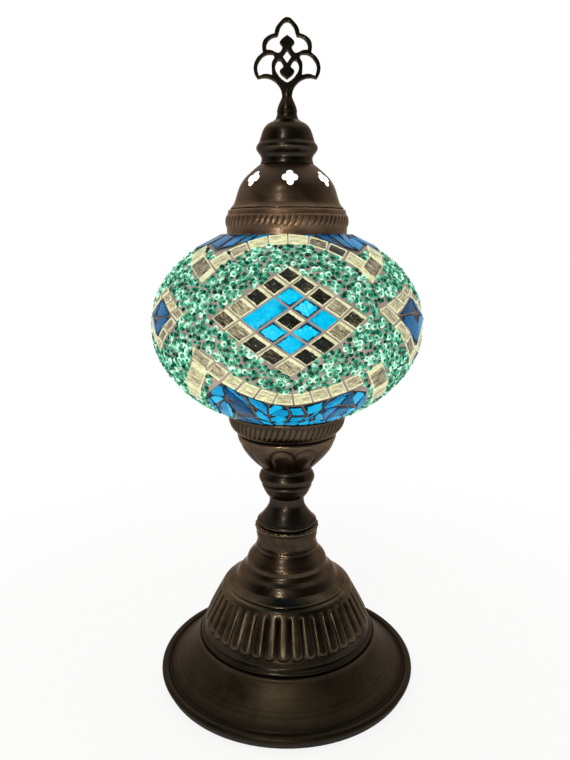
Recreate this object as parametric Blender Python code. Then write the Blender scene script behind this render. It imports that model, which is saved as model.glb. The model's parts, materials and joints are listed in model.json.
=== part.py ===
"""A mosaic glass table lamp: a spun base, a turned stem stacked on a threaded tube, a glass globe
covered in glued tiles, and a lift-off cap with an openwork finial. Metres, +Z up, standing on z = 0 with
the stem on the Z axis and the main mosaic panel facing -Y."""

import math

import bmesh
import bpy
from mathutils import Matrix, Vector
from mathutils.geometry import delaunay_2d_cdt, intersect_point_line, intersect_point_quad_2d

MM = 0.001

# Fits
SEAT = 0.3 * MM  # gap left between two pieces that rest on each other
SLIP = 0.3 * MM  # radial gap between a rod and its hole
SHEET = 1.2 * MM  # spun and pressed metal

# Base
FELT_THICKNESS = 2.2 * MM
FELT_INSET = 2.0 * MM
DISH_RADIUS = 86.0 * MM
DISH_HEIGHT = 25.2 * MM
RIM_ROLL = 2.75 * MM  # radius of the rolled edge
SHELF_WIDTH = 14.0 * MM  # flat ring on top of the dish, under the dome
DISH_SAG = 2.2 * MM  # how far the dish's side hollows in
DOME_RADIUS = 58.5 * MM
DOME_HEIGHT = 36.0 * MM
DOME_TOP_RADIUS = 40.4 * MM
FLUTE_PAIRS = 20
FLUTE_DEPTH = 1.5 * MM

# Stem, from the dome upwards
SHOULDER_HEIGHT = 26.2 * MM
STEP_RADIUS = 33.4 * MM  # the wide step of the shoulder
TIER_RADIUS = 26.6 * MM  # the narrow step of the shoulder
DRUM_RADIUS = 21.0 * MM
DRUM_HEIGHT = 14.7 * MM
TRUMPET_HEIGHT = 18.4 * MM
WAIST_RADIUS = 11.4 * MM
KNOP_RADIUS = 18.3 * MM
KNOP_HEIGHT = 19.0 * MM
CUP_RADIUS = 32.0 * MM
CUP_RIM = 2.4 * MM  # height of the cup's turned-in rim
CUP_HEIGHT = 24.2 * MM
PETALS = 12
PETAL_GROOVE = 0.9 * MM
GALLERY_HEIGHT = 14.7 * MM
TUBE_RADIUS = 5.0 * MM
TUBE_BORE = 3.3 * MM
NUT_ACROSS_FLATS = 17.0 * MM
NUT_HEIGHT = 5.0 * MM
WASHER_RADIUS = 10.5 * MM
WASHER_THICKNESS = 1.4 * MM
PLATE_THICKNESS = 1.5 * MM
TUBE_TAIL = 4.0 * MM  # thread showing below the base nut

# Collars above and below the globe
GADROON_FOURS = 16
GADROON_DEPTH = 0.7 * MM
GADROON_SLANT = 0.9  # how far a gadroon leans over its height, in gadroon widths
COLLAR_SWELL = 0.9 * MM  # how far the gadroons stand out past the collar's lip
GALLERY_TAPER = 1.6 * MM  # how far the lower gadroons draw in towards the cup
COLLAR_HEIGHT = 16.1 * MM

# Globe
GLOBE_RADIUS = 84.0 * MM  # over the tiles
GLOBE_HALF_HEIGHT = 62.5 * MM  # of the full ellipsoid, over the tiles
TILE_PROUD = 0.6 * MM
GROUT_THICKNESS = 1.5 * MM
GLASS_WALL = 1.8 * MM
MOUTH_RADIUS = 37.2 * MM  # outer edge of the ground rims
LIP_INSET = 0.5 * MM  # the collars' lips stand this far inside the ground rims
MOSAIC_MARGIN = 1.6 * MM  # the mosaic starts this far outside the ground rims
GASKET_THICKNESS = 1.4 * MM
GASKET_WIDTH = 3.0 * MM

# Mosaic layout, as azimuth and latitude on the globe in degrees
PANELS = 3
GROUT_GAP = 0.9
MEDALLION_TILES = 5  # along one edge
MEDALLION_CENTRE = 11.0
MEDALLION_WIDTH = 60.0
MEDALLION_HEIGHT = 55.0
ARCH_TILES = 8
ARCH_SPREAD = 39.0
ARCH_SAG = 20.0
ARCH_POWER = 2.5  # a higher power keeps an arch flat for longer before its ends drop
ARCH_DEPTH = 8.6
SWAG_TILES = 9
SWAG_CROWN = -31.0
SWAG_SPREAD = 32.0
SWAG_SAG = 17.5
SWAG_POWER = 1.7
SWAG_DEPTH = 7.6
TILE_CROWDING = 0.3  # how much the tiles of an arch close up towards its ends, where its rise adds to their length
SIDE_TILES = 2
SIDE_CENTRE = 8.0
SIDE_WIDTH = 36.0
SIDE_HEIGHT = 44.0
BAR_STEP = 7.0  # from the end of an arch to the corner bar beside it
BAR_WIDTH = 8.0
UPPER_BAR = (20.5, 30.5)  # length and tilt
LOWER_BAR = (26.0, -54.0)
FIELD_STEP = 18.0  # between the points that keep the grout round, every other one of which carries a bead
FIELD_CLEAR = 3.0  # from those points to the nearest tile
BEAD_SIZE = 1.15  # half the width of a bead
BEAD_SIDES = 6

# Lamp holder and bulb
HOLDER_RADIUS = 13.5 * MM
HOLDER_BASE_HEIGHT = 12.0 * MM
HOLDER_HEIGHT = 40.0 * MM
HOLDER_WALL = 2.2 * MM
SHELL_BORE = 7.15 * MM
SHELL_WALL = 0.7 * MM
SHELL_HEIGHT = 20.0 * MM
CONTACT_RADIUS = 3.6 * MM
CONTACT_THICKNESS = 1.0 * MM
BULB_CAP_RADIUS = 6.75 * MM
BULB_CAP_HEIGHT = 22.0 * MM
BULB_TIP_HEIGHT = 1.6 * MM
BULB_INSULATOR_HEIGHT = 2.6 * MM
BULB_RADIUS = 22.5 * MM
BULB_NECK_RADIUS = 9.0 * MM
BULB_LENGTH = 52.0 * MM  # glass envelope alone

# Cap and finial
CAP_DOME_HEIGHT = 26.3 * MM
CAP_FLANGE = 11.0 * MM  # width of the flat rings that the rivets join
DOME_INSET = 2.1 * MM  # the dome's foot stands this far inside the collar's lip
WINDOWS = 7
WINDOW_TURN = 3.5  # azimuth of the front window, in degrees
WINDOW_RADIUS = 3.9 * MM  # mean radius of a four-lobed window
WINDOW_LOBE = 1.2 * MM
WINDOW_HEIGHT = 16.3 * MM  # of a window's middle above the dome's foot
WINDOW_CUT = 16.0 * MM  # depth of the cut that opens a window
WINDOW_TILT = 36.0  # how far a window faces up, in degrees
DOME_FLARE = 3.2 * MM  # how far the dome's foot flares out
BELL_RADIUS = 18.4 * MM  # over the bead
BELL_WAIST = 15.4 * MM
BELL_HEIGHT = 25.0 * MM
FERRULE_RADIUS = 6.7 * MM
FERRULE_HEIGHT = 18.0 * MM
CREST_FOOT = 13.0 * MM  # the openwork crest starts this far above the ferrule's foot
CREST_THICKNESS = 3.2 * MM
STUD_RADIUS = 2.5 * MM
STUD_GRIP = 7.0 * MM  # thread inside the ferrule
STUD_TAIL = 2.5 * MM
STUD_NUT_ACROSS_FLATS = 8.0 * MM
STUD_NUT_HEIGHT = 4.0 * MM
STUD_WASHER_RADIUS = 7.0 * MM
CLIPS = 3
CLIP_WIDTH = 8.0 * MM
CLIP_THICKNESS = 0.6 * MM
CLIP_PLAY = 0.8 * MM  # gap between a clip and the edge of the mouth
CLIP_REACH = 9.0 * MM  # how far a clip's leaf goes into the globe
RIVET_INSET = 3.6 * MM  # from the inner edge of the flat rings
RIVET_RADIUS = 1.3 * MM
RIVET_HEAD_RADIUS = 2.4 * MM
RIVET_HEAD_HEIGHT = 0.9 * MM

# Cord inlet in the back of the dish
INLET_RADIUS = 4.6 * MM
INLET_FLANGE = 1.3 * MM
INLET_BORE = 3.0 * MM
INLET_SHARE = 0.5  # where the inlet sits between the shelf and the rim

# Facets
WIDE_SIDES = 32
STEM_SIDES = 20
SMALL_SIDES = 12
RIVET_SIDES = 8
GLOBE_SIDES = 24
GLOBE_ROWS = 6
DEEP_BOW = 1.5 * MM  # a bow that rises more than this gets one facet more

# Heights of the stacked pieces
DISH_Z = FELT_THICKNESS + SEAT
DOME_Z = DISH_Z + DISH_HEIGHT + SEAT
SHOULDER_Z = DOME_Z + DOME_HEIGHT + SEAT
DRUM_Z = SHOULDER_Z + SHOULDER_HEIGHT + SEAT
TRUMPET_Z = DRUM_Z + DRUM_HEIGHT + SEAT
KNOP_Z = TRUMPET_Z + TRUMPET_HEIGHT + SEAT
CUP_Z = KNOP_Z + KNOP_HEIGHT + SEAT
GALLERY_Z = CUP_Z + CUP_HEIGHT + SEAT
GASKET_Z = GALLERY_Z + GALLERY_HEIGHT + SEAT
GLASS_Z = GASKET_Z + GASKET_THICKNESS + SEAT

# The globe's shells, each an ellipsoid about the same centre
TILE_SHELL = Vector((GLOBE_RADIUS, GLOBE_HALF_HEIGHT))
GROUT_SHELL = TILE_SHELL - Vector((TILE_PROUD, TILE_PROUD))
BACK_SHELL = GROUT_SHELL - Vector((GROUT_THICKNESS, GROUT_THICKNESS))
GLASS_SHELL = BACK_SHELL - Vector((SEAT, SEAT))
INSIDE_SHELL = GLASS_SHELL - Vector((GLASS_WALL, GLASS_WALL))
GLASS_LATITUDE = math.acos(MOUTH_RADIUS / GLASS_SHELL.x)
MOSAIC_LATITUDE = math.acos((MOUTH_RADIUS + MOSAIC_MARGIN) / GLOBE_RADIUS)
GLASS_HALF = GLASS_SHELL.y * math.sin(GLASS_LATITUDE)
INSIDE_LATITUDE = math.asin(GLASS_HALF / INSIDE_SHELL.y)
INSIDE_MOUTH = INSIDE_SHELL.x * math.cos(INSIDE_LATITUDE)
GLOBE_CENTRE = GLASS_Z + GLASS_HALF

COLLAR_Z = GLOBE_CENTRE + GLASS_HALF + SEAT
CAP_DOME_Z = COLLAR_Z + COLLAR_HEIGHT + SEAT
BELL_Z = CAP_DOME_Z + CAP_DOME_HEIGHT + SEAT
FINIAL_Z = BELL_Z + BELL_HEIGHT + SEAT
LIP_RADIUS = MOUTH_RADIUS - LIP_INSET
DOME_FOOT = LIP_RADIUS - DOME_INSET
FLANGE_INSIDE = DOME_FOOT - CAP_FLANGE
RIVET_CIRCLE = FLANGE_INSIDE + RIVET_INSET
TUBE_HOLE = TUBE_RADIUS + SLIP
STUD_HOLE = STUD_RADIUS + SLIP
RIVET_HOLE = RIVET_RADIUS + SLIP
HOLDER_Z = GALLERY_Z + SHEET + SEAT + WASHER_THICKNESS + SEAT + NUT_HEIGHT + SEAT

FINISHES = {
    "antique_bronze": ((0.060, 0.042, 0.026), 0.38, 1.0),
    "brass": ((0.62, 0.46, 0.20), 0.30, 1.0),
    "steel": ((0.55, 0.55, 0.56), 0.35, 1.0),
    "felt": ((0.035, 0.035, 0.038), 0.95, 0.0),
    "rubber": ((0.02, 0.02, 0.02), 0.70, 0.0),
    "clear_glass": ((0.85, 0.90, 0.88), 0.08, 0.0),
    "mosaic": ((0.10, 0.48, 0.46), 0.25, 0.0),
    "phenolic": ((0.03, 0.025, 0.022), 0.45, 0.0),
    "opal_glass": ((0.93, 0.92, 0.86), 0.20, 0.0),
}


def finish(name):
    """The shared material of this name."""
    if name not in bpy.data.materials:
        colour, roughness, metallic = FINISHES[name]
        made = bpy.data.materials.new(name)
        made.use_nodes = True
        shader = made.node_tree.nodes["Principled BSDF"]
        shader.inputs["Base Color"].default_value = (*colour, 1)
        shader.inputs["Roughness"].default_value = roughness
        shader.inputs["Metallic"].default_value = metallic
    return bpy.data.materials[name]


def add(name, bm, finish_name, height=0.0, carrier=None):
    """An object made from the bmesh, its faces turned outwards, at a height on the lamp's axis."""
    bmesh.ops.remove_doubles(bm, verts=bm.verts, dist=0.001 * MM)
    bmesh.ops.recalc_face_normals(bm, faces=bm.faces)
    mesh = bpy.data.meshes.new(name)
    bm.to_mesh(mesh)
    bm.free()
    mesh.materials.append(finish(finish_name))
    mesh.shade_smooth()
    mesh.set_sharp_from_angle(angle=math.radians(35))
    made = bpy.data.objects.new(name, mesh)
    bpy.context.collection.objects.link(made)
    made.location.z = height
    if carrier:
        made.parent = carrier
        made.location.z = height - carrier.location.z
    return made


def axis(name, height):
    """An empty on the lamp's axis, which carries the pieces that move together."""
    made = bpy.data.objects.new(name, None)
    bpy.context.collection.objects.link(made)
    made.location.z = height
    return made


def bow(start, end, rise):
    """Points between start and end on a shallow curve that swells to the left of the run by the rise."""
    along = end - start
    across = Vector((-along.y, along.x)).normalized() * rise
    facets = 3 if abs(rise) > DEEP_BOW else 2
    shares = [facet / facets for facet in range(1, facets)]
    return [start + along * share + across * (4 * share * (1 - share)) for share in shares]


def outline(*stations):
    """Points through stations of radius and height. A third value bows the run that ends at that station,
    and it swells out of the metal when the outline goes down its outer side and up its inner one."""
    points = [Vector(stations[0][:2])]
    for station in stations[1:]:
        end = Vector(station[:2])
        if len(station) == 3:
            points += bow(points[-1], end, station[2])
        points.append(end)
    return points


def turned(points, sides):
    """A bmesh of the closed outline turned about the axis."""
    bm = bmesh.new()
    verts = [bm.verts.new((point.x, 0, point.y)) for point in points]
    edges = []
    for index, point in enumerate(points):
        if points[index - 1].x or point.x:
            edges.append(bm.edges.new((verts[index - 1], verts[index])))
    turn = dict(cent=(0, 0, 0), axis=(0, 0, 1), angle=math.tau, steps=sides, use_merge=True)
    bmesh.ops.spin(bm, geom=verts + edges, **turn)
    return bm


def ring(radius, height, count, dips=(0,), depth=0.0, turn=0.0):
    """A closed ring of points, whose radius dips by the depth times each of the repeating dips."""
    points = []
    for index in range(count):
        around = math.tau * (index + turn) / count
        reach = radius - depth * dips[index % len(dips)]
        points.append(Vector((reach * math.cos(around), reach * math.sin(around), height)))
    return points


def skin(bm, first, second):
    """Faces between two rings of vertices, where one ring has a whole multiple of the other's count."""
    few, many = sorted((first, second), key=len)
    per = len(many) // len(few)
    lower = per // 2
    upper = per - lower
    for index, left in enumerate(few):
        right = few[(index + 1) % len(few)]
        nearby = [many[(index * per + step) % len(many)] for step in range(per + 1)]
        for step in range(lower):
            bm.faces.new((left, nearby[step], nearby[step + 1]))
        for step in range(upper, per):
            bm.faces.new((right, nearby[step], nearby[step + 1]))
        bm.faces.new((left, *nearby[lower : upper + 1], right))


def lofted(rings):
    """A bmesh of a closed wall that runs through the rings and back from the last to the first."""
    bm = bmesh.new()
    rows = [[bm.verts.new(point) for point in points] for points in rings]
    for index in range(len(rows)):
        skin(bm, rows[index - 1], rows[index])
    return bm


def prism(bm, points, width, place):
    """Adds an outline in the XZ plane with a width along Y, half to each side, moved to its place."""
    corners = [place @ Vector((point.x, -width / 2, point.y)) for point in points]
    face = bm.faces.new([bm.verts.new(corner) for corner in corners])
    grown = bmesh.ops.extrude_face_region(bm, geom=[face])["geom"]
    moved = [item for item in grown if isinstance(item, bmesh.types.BMVert)]
    bmesh.ops.translate(bm, verts=moved, vec=place.to_3x3() @ Vector((0, width, 0)))


def cut(target, cutter, operation="DIFFERENCE"):
    """A Boolean of the target with a hidden helper."""
    cutter.hide_render = True
    cutter.display_type = "WIRE"
    modifier = target.modifiers.new(operation.title(), "BOOLEAN")
    modifier.operation = operation
    modifier.object = cutter


def tube_outline(outer, inner, bottom, top):
    return outline((outer, top), (outer, bottom), (inner, bottom), (inner, top))


def hex_nut(name, across_flats, hole, height, finish_name, place, carrier=None):
    corner = across_flats / math.sqrt(3)
    rings = [ring(corner, height, 6), ring(corner, 0, 6), ring(hole, 0, 12), ring(hole, height, 12)]
    return add(name, lofted(rings), finish_name, place, carrier)


def washer(name, radius, hole, thickness, finish_name, place, carrier=None):
    bm = turned(tube_outline(radius, hole, 0, thickness), SMALL_SIDES)
    return add(name, bm, finish_name, place, carrier)


def felt_pad():
    bm = bmesh.new()
    radius = DISH_RADIUS - FELT_INSET
    size = dict(radius1=radius, radius2=radius, depth=FELT_THICKNESS)
    bmesh.ops.create_cone(bm, cap_ends=True, segments=WIDE_SIDES, **size)
    add("felt_pad", bm, "felt", FELT_THICKNESS / 2)


def dish_flare():
    """The dish's sloping side, from the edge of the shelf down to the groove inside the rolled rim."""
    shelf_edge = DOME_RADIUS + 2.2 * MM
    groove = DISH_RADIUS - 2 * RIM_ROLL + 0.9 * MM
    return Vector((shelf_edge, DISH_HEIGHT - 1.6 * MM)), Vector((groove, RIM_ROLL + 1.1 * MM))


def base_dish():
    top, bottom = dish_flare()
    roll = DISH_RADIUS - RIM_ROLL
    shelf_inside = DOME_RADIUS - SHELF_WIDTH
    points = outline(
        (shelf_inside, DISH_HEIGHT),
        (top.x - 1.6 * MM, DISH_HEIGHT),
        (top.x, top.y),
        (bottom.x, bottom.y, -DISH_SAG),
        (roll, 2 * RIM_ROLL),
        (DISH_RADIUS, RIM_ROLL, 1.0 * MM),
        (roll, 0, 1.0 * MM),
        (bottom.x - SHEET, bottom.y - SHEET),
        (top.x - SHEET, top.y - SHEET, DISH_SAG),
        (top.x - 2.2 * MM, DISH_HEIGHT - SHEET),
        (shelf_inside, DISH_HEIGHT - SHEET),
    )
    dish = add("base_dish", turned(points, WIDE_SIDES), "antique_bronze", DISH_Z)
    hole = bmesh.new()
    size = dict(radius1=INLET_RADIUS, radius2=INLET_RADIUS, depth=6 * SHEET)
    bmesh.ops.create_cone(hole, cap_ends=True, segments=SMALL_SIDES, matrix=inlet_frame(), **size)
    cut(dish, add("inlet_cutter", hole, "rubber"))


def inlet_frame():
    """Places the cord inlet square to the dish's side at the back, with its own Z axis pointing out."""
    top, bottom = dish_flare()
    along = bottom - top
    across = Vector((-along.y, along.x)).normalized()
    point = top.lerp(bottom, INLET_SHARE) - across * (DISH_SAG + SHEET / 2)
    place = Matrix.Translation((0, point.x, DISH_Z + point.y))
    return place @ Matrix.Rotation(-math.atan2(across.x, across.y), 4, "X")


def cord_grommet():
    neck = INLET_RADIUS - SLIP
    flange = INLET_RADIUS + INLET_FLANGE
    inner = SHEET / math.sqrt(2) + 1.5 * SEAT
    outer = inner + 1.6 * MM
    points = outline(
        (INLET_BORE, outer + 0.8 * MM),
        (flange - 0.8 * MM, outer),
        (flange, inner),
        (neck, inner),
        (neck, -inner),
        (flange, -inner),
        (flange - 0.8 * MM, -outer),
        (INLET_BORE, -outer),
    )
    bm = turned(points, SMALL_SIDES)
    bm.transform(inlet_frame())
    add("cord_grommet", bm, "rubber")


def fluted_dome():
    """A pressed dome with round-ended channels between narrow ridges."""
    plain = 2 * FLUTE_PAIRS
    foot = DOME_RADIUS - 1.4 * MM
    flute_foot = 6.3 * MM
    flute_top = DOME_HEIGHT - 2.0 * MM
    end = 2.6 * MM

    def side(height):
        share = (height - flute_foot) / (flute_top - flute_foot)
        return foot + (DOME_TOP_RADIUS + 0.9 * MM - foot) * share

    def channels(height):
        return ring(side(height), height, 3 * plain, (0, 1, 1), FLUTE_DEPTH)

    inner_top = DOME_TOP_RADIUS - FLUTE_DEPTH - SHEET
    inner_foot = foot - FLUTE_DEPTH - SHEET
    rings = [
        ring(DOME_TOP_RADIUS, DOME_HEIGHT, plain),
        ring(side(flute_top), flute_top, plain),
        channels(flute_top - end),
        channels(flute_foot + end),
        ring(foot, flute_foot, plain),
        ring(DOME_RADIUS, 3.4 * MM, plain),
        ring(DOME_RADIUS, 1.2 * MM, plain),
        ring(DOME_RADIUS - 1.2 * MM, 0, plain),
        ring(inner_foot, 0, FLUTE_PAIRS),
        ring(inner_top, DOME_HEIGHT, FLUTE_PAIRS),
    ]
    add("fluted_dome", lofted(rings), "antique_bronze", DOME_Z)


def stepped_shoulder():
    neck = DRUM_RADIUS - 0.5 * MM
    points = outline(
        (neck, SHOULDER_HEIGHT),
        (neck + 0.9 * MM, SHOULDER_HEIGHT - 2.6 * MM),
        (TIER_RADIUS - 0.6 * MM, SHOULDER_HEIGHT - 8.6 * MM, 0.9 * MM),
        (TIER_RADIUS + 0.6 * MM, SHOULDER_HEIGHT - 13.2 * MM),
        (STEP_RADIUS - 3.2 * MM, SHOULDER_HEIGHT - 16.4 * MM, -0.5 * MM),
        (STEP_RADIUS, SHOULDER_HEIGHT - 20.6 * MM, 0.7 * MM),
        (STEP_RADIUS + 1.2 * MM, SHOULDER_HEIGHT - 22.3 * MM),
        (DOME_TOP_RADIUS, 0, 0.9 * MM),
        (DOME_TOP_RADIUS - 3 * SHEET, 0),
        (STEP_RADIUS - 2 * SHEET, SHOULDER_HEIGHT - 22.3 * MM),
        (TIER_RADIUS - 2 * SHEET, SHOULDER_HEIGHT - 14.4 * MM),
        (neck - 2 * SHEET, SHOULDER_HEIGHT - 3 * SHEET),
        (TUBE_HOLE, SHOULDER_HEIGHT - 3 * SHEET),
        (TUBE_HOLE, SHOULDER_HEIGHT),
    )
    add("stepped_shoulder", turned(points, STEM_SIDES), "antique_bronze", SHOULDER_Z)


def stem_drum():
    points = outline(
        (DRUM_RADIUS - 1.0 * MM, DRUM_HEIGHT),
        (DRUM_RADIUS, DRUM_HEIGHT - 2.0 * MM, 0.3 * MM),
        (DRUM_RADIUS - 1.3 * MM, 3.6 * MM, -0.3 * MM),
        (DRUM_RADIUS - 0.5 * MM, 0, -0.1 * MM),
        (TUBE_HOLE, 0),
        (TUBE_HOLE, DRUM_HEIGHT),
    )
    add("stem_drum", turned(points, STEM_SIDES), "antique_bronze", DRUM_Z)


def stem_trumpet():
    points = outline(
        (WAIST_RADIUS + 0.5 * MM, TRUMPET_HEIGHT),
        (WAIST_RADIUS, TRUMPET_HEIGHT - 3.0 * MM),
        (DRUM_RADIUS - 1.2 * MM, 1.4 * MM, -1.7 * MM),
        (DRUM_RADIUS - 1.2 * MM, 0),
        (TUBE_HOLE, 0),
        (TUBE_HOLE, TRUMPET_HEIGHT),
    )
    add("stem_trumpet", turned(points, STEM_SIDES), "antique_bronze", TRUMPET_Z)


def stem_knop():
    neck = KNOP_RADIUS - 2.0 * MM
    points = outline(
        (neck, KNOP_HEIGHT),
        (neck, KNOP_HEIGHT - 2.2 * MM),
        (KNOP_RADIUS, KNOP_HEIGHT - 5.6 * MM, 0.6 * MM),
        (neck, KNOP_HEIGHT - 9.4 * MM, 0.6 * MM),
        (neck - 0.4 * MM, KNOP_HEIGHT - 12.6 * MM, 0.3 * MM),
        (WAIST_RADIUS + 0.9 * MM, 0, 0.7 * MM),
        (TUBE_HOLE, 0),
        (TUBE_HOLE, KNOP_HEIGHT),
    )
    add("stem_knop", turned(points, STEM_SIDES), "antique_bronze", KNOP_Z)


def petal_cup():
    """A pressed cup with a ring of petals, each parted from the next by a groove."""
    many = 4 * PETALS
    few = 2 * PETALS
    foot = KNOP_RADIUS - 1.8 * MM
    side = CUP_HEIGHT - CUP_RIM

    def petals(height, depth):
        share = height / side
        radius = foot + (CUP_RADIUS - foot) * share + 5.9 * MM * share * (1 - share)
        return ring(radius, height, many, (1, 0, 0, 0), depth, turn=0.4)

    rings = [
        ring(CUP_RADIUS - 0.8 * MM, CUP_HEIGHT, few, turn=0.2),
        petals(side, 0),
        petals(side - 3.2 * MM, PETAL_GROOVE),
        petals(8.4 * MM, PETAL_GROOVE),
        petals(2.2 * MM, 0),
        ring(foot, 0, few, turn=0.2),
        ring(TUBE_HOLE, 0, few, turn=0.2),
        ring(TUBE_HOLE, 2 * SHEET, few, turn=0.2),
        ring(foot - SHEET, 2 * SHEET, few, turn=0.2),
        ring(CUP_RADIUS - 2 * SHEET - PETAL_GROOVE, CUP_HEIGHT, few, turn=0.2),
    ]
    add("petal_cup", lofted(rings), "antique_bronze", CUP_Z)


def gadrooned(top_radius, top, bottom_radius, bottom):
    """Two rings with slanted gadroons between them, from the top one down."""
    count = 8 * GADROON_FOURS
    return [
        ring(top_radius, top, count, (0, 1), GADROON_DEPTH, turn=-GADROON_SLANT),
        ring(bottom_radius, bottom, count, (0, 1), GADROON_DEPTH, turn=GADROON_SLANT),
    ]


def lower_gallery():
    """The pressed collar that carries the globe. Its floor is clamped on the tube and its lip turns in
    under the globe's ground rim."""
    inside = GADROON_FOURS
    plain = 2 * GADROON_FOURS
    edge = 4 * GADROON_FOURS
    crest = LIP_RADIUS + COLLAR_SWELL
    foot = 4.8 * MM
    rings = [
        ring(LIP_RADIUS, GALLERY_HEIGHT, plain),
        ring(crest, GALLERY_HEIGHT - 1.6 * MM, edge),
        *gadrooned(crest, GALLERY_HEIGHT - 3.0 * MM, crest - GALLERY_TAPER, foot),
        ring(CUP_RADIUS + 1.2 * MM, 1.2 * MM, edge),
        ring(CUP_RADIUS - 0.8 * MM, 0, plain),
        ring(TUBE_HOLE, 0, inside),
        ring(TUBE_HOLE, SHEET, inside),
        ring(CUP_RADIUS - SHEET, SHEET, inside),
        ring(crest - GALLERY_TAPER - GADROON_DEPTH - SHEET, foot + SHEET, inside),
        ring(LIP_RADIUS - GASKET_WIDTH, GALLERY_HEIGHT - SHEET, inside),
        ring(LIP_RADIUS - GASKET_WIDTH, GALLERY_HEIGHT, inside),
    ]
    add("lower_gallery", lofted(rings), "antique_bronze", GALLERY_Z)


def central_tube():
    plate_z = DISH_Z + DISH_HEIGHT - SHEET - SEAT - PLATE_THICKNESS
    washer_z = plate_z - SEAT - WASHER_THICKNESS
    nut_z = washer_z - SEAT - NUT_HEIGHT
    bottom = nut_z - TUBE_TAIL
    top = HOLDER_Z + HOLDER_BASE_HEIGHT * 0.6
    plate_radius = DOME_RADIUS - SHELF_WIDTH / 2
    nut_hole = TUBE_RADIUS + SLIP
    tube = turned(tube_outline(TUBE_RADIUS, TUBE_BORE, 0, top - bottom), SMALL_SIDES)
    add("central_tube", tube, "steel", bottom)
    plate = turned(tube_outline(plate_radius, TUBE_HOLE, 0, PLATE_THICKNESS), STEM_SIDES)
    add("base_clamp_plate", plate, "steel", plate_z)
    washer("base_washer", WASHER_RADIUS, TUBE_HOLE, WASHER_THICKNESS, "steel", washer_z)
    hex_nut("base_nut", NUT_ACROSS_FLATS, nut_hole, NUT_HEIGHT, "brass", nut_z)
    upper_washer_z = GALLERY_Z + SHEET + SEAT
    washer("gallery_washer", WASHER_RADIUS, TUBE_HOLE, WASHER_THICKNESS, "steel", upper_washer_z)
    upper_nut_z = upper_washer_z + WASHER_THICKNESS + SEAT
    hex_nut("gallery_nut", NUT_ACROSS_FLATS, nut_hole, NUT_HEIGHT, "brass", upper_nut_z)


def lamp_holder():
    """A two-piece holder: a base that screws onto the tube, and a body with the brass shell and contact."""
    base = outline(
        (HOLDER_RADIUS, HOLDER_BASE_HEIGHT),
        (HOLDER_RADIUS, 2.0 * MM),
        (HOLDER_RADIUS - 2.0 * MM, 0, 0.5 * MM),
        (TUBE_HOLE, 0),
        (TUBE_HOLE, HOLDER_BASE_HEIGHT * 0.5),
        (HOLDER_RADIUS - HOLDER_WALL, HOLDER_BASE_HEIGHT * 0.5),
        (HOLDER_RADIUS - HOLDER_WALL, HOLDER_BASE_HEIGHT),
    )
    add("holder_base", turned(base, SMALL_SIDES), "phenolic", HOLDER_Z)
    body_z = HOLDER_Z + HOLDER_BASE_HEIGHT + SEAT
    height = HOLDER_HEIGHT - HOLDER_BASE_HEIGHT
    floor = 3.0 * MM
    bore = SHELL_BORE + SHELL_WALL + SLIP
    body = outline(
        (bore, height),
        (HOLDER_RADIUS - 0.8 * MM, height),
        (HOLDER_RADIUS, height - 1.2 * MM),
        (HOLDER_RADIUS, 0),
        (CONTACT_RADIUS / 3, 0),
        (CONTACT_RADIUS / 3, floor),
        (bore, floor),
    )
    add("holder_body", turned(body, SMALL_SIDES), "phenolic", body_z)
    shell_z = body_z + floor + SEAT
    shell = tube_outline(SHELL_BORE + SHELL_WALL, SHELL_BORE, 0, SHELL_HEIGHT)
    add("holder_screw_shell", turned(shell, SMALL_SIDES), "brass", shell_z)
    edge = CONTACT_THICKNESS * 0.6
    contact = outline((0, CONTACT_THICKNESS), (CONTACT_RADIUS, edge), (CONTACT_RADIUS, 0), (0, 0))
    add("holder_contact", turned(contact, SMALL_SIDES), "brass", shell_z)
    return shell_z + CONTACT_THICKNESS + SEAT


def bulb(tip_z):
    """A round bulb whose screw cap turns in the holder's shell."""
    turn_axis = axis("bulb_turn", tip_z)
    tip_foot = CONTACT_RADIUS * 0.7
    tip = outline((CONTACT_RADIUS, BULB_TIP_HEIGHT), (tip_foot, 0), (0, 0), (0, BULB_TIP_HEIGHT))
    add("bulb_contact", turned(tip, SMALL_SIDES), "steel", tip_z, turn_axis)
    insulator_z = tip_z + BULB_TIP_HEIGHT + SEAT
    cap_foot = BULB_CAP_RADIUS - 0.8 * MM
    insulator = outline(
        (cap_foot, BULB_INSULATOR_HEIGHT),
        (CONTACT_RADIUS, 0),
        (0, 0),
        (0, BULB_INSULATOR_HEIGHT),
    )
    add("bulb_insulator", turned(insulator, SMALL_SIDES), "phenolic", insulator_z, turn_axis)
    cap_z = insulator_z + BULB_INSULATOR_HEIGHT + SEAT
    cap = outline(
        (BULB_NECK_RADIUS, BULB_CAP_HEIGHT),
        (BULB_CAP_RADIUS, BULB_CAP_HEIGHT - 4.0 * MM),
        (BULB_CAP_RADIUS, 1.0 * MM),
        (cap_foot, 0),
        (cap_foot - SHELL_WALL, 0),
        (BULB_CAP_RADIUS - SHELL_WALL, 1.0 * MM),
        (BULB_CAP_RADIUS - SHELL_WALL, BULB_CAP_HEIGHT - 4.0 * MM),
        (BULB_NECK_RADIUS - SHELL_WALL, BULB_CAP_HEIGHT),
    )
    add("bulb_screw_cap", turned(cap, SMALL_SIDES), "steel", cap_z, turn_axis)
    envelope_z = cap_z + BULB_CAP_HEIGHT + SEAT
    middle = BULB_LENGTH - BULB_RADIUS
    steps = 7
    arc = [math.pi / 2 - math.radians(150) * step / steps for step in range(1, steps + 1)]
    glass = [Vector((BULB_RADIUS * math.cos(turn), middle + BULB_RADIUS * math.sin(turn))) for turn in arc]
    ends = [Vector((BULB_NECK_RADIUS, 0)), Vector((0, 0)), Vector((0, BULB_LENGTH))]
    add("bulb_envelope", turned(glass + ends, SMALL_SIDES + 2), "opal_glass", envelope_z, turn_axis)


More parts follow.
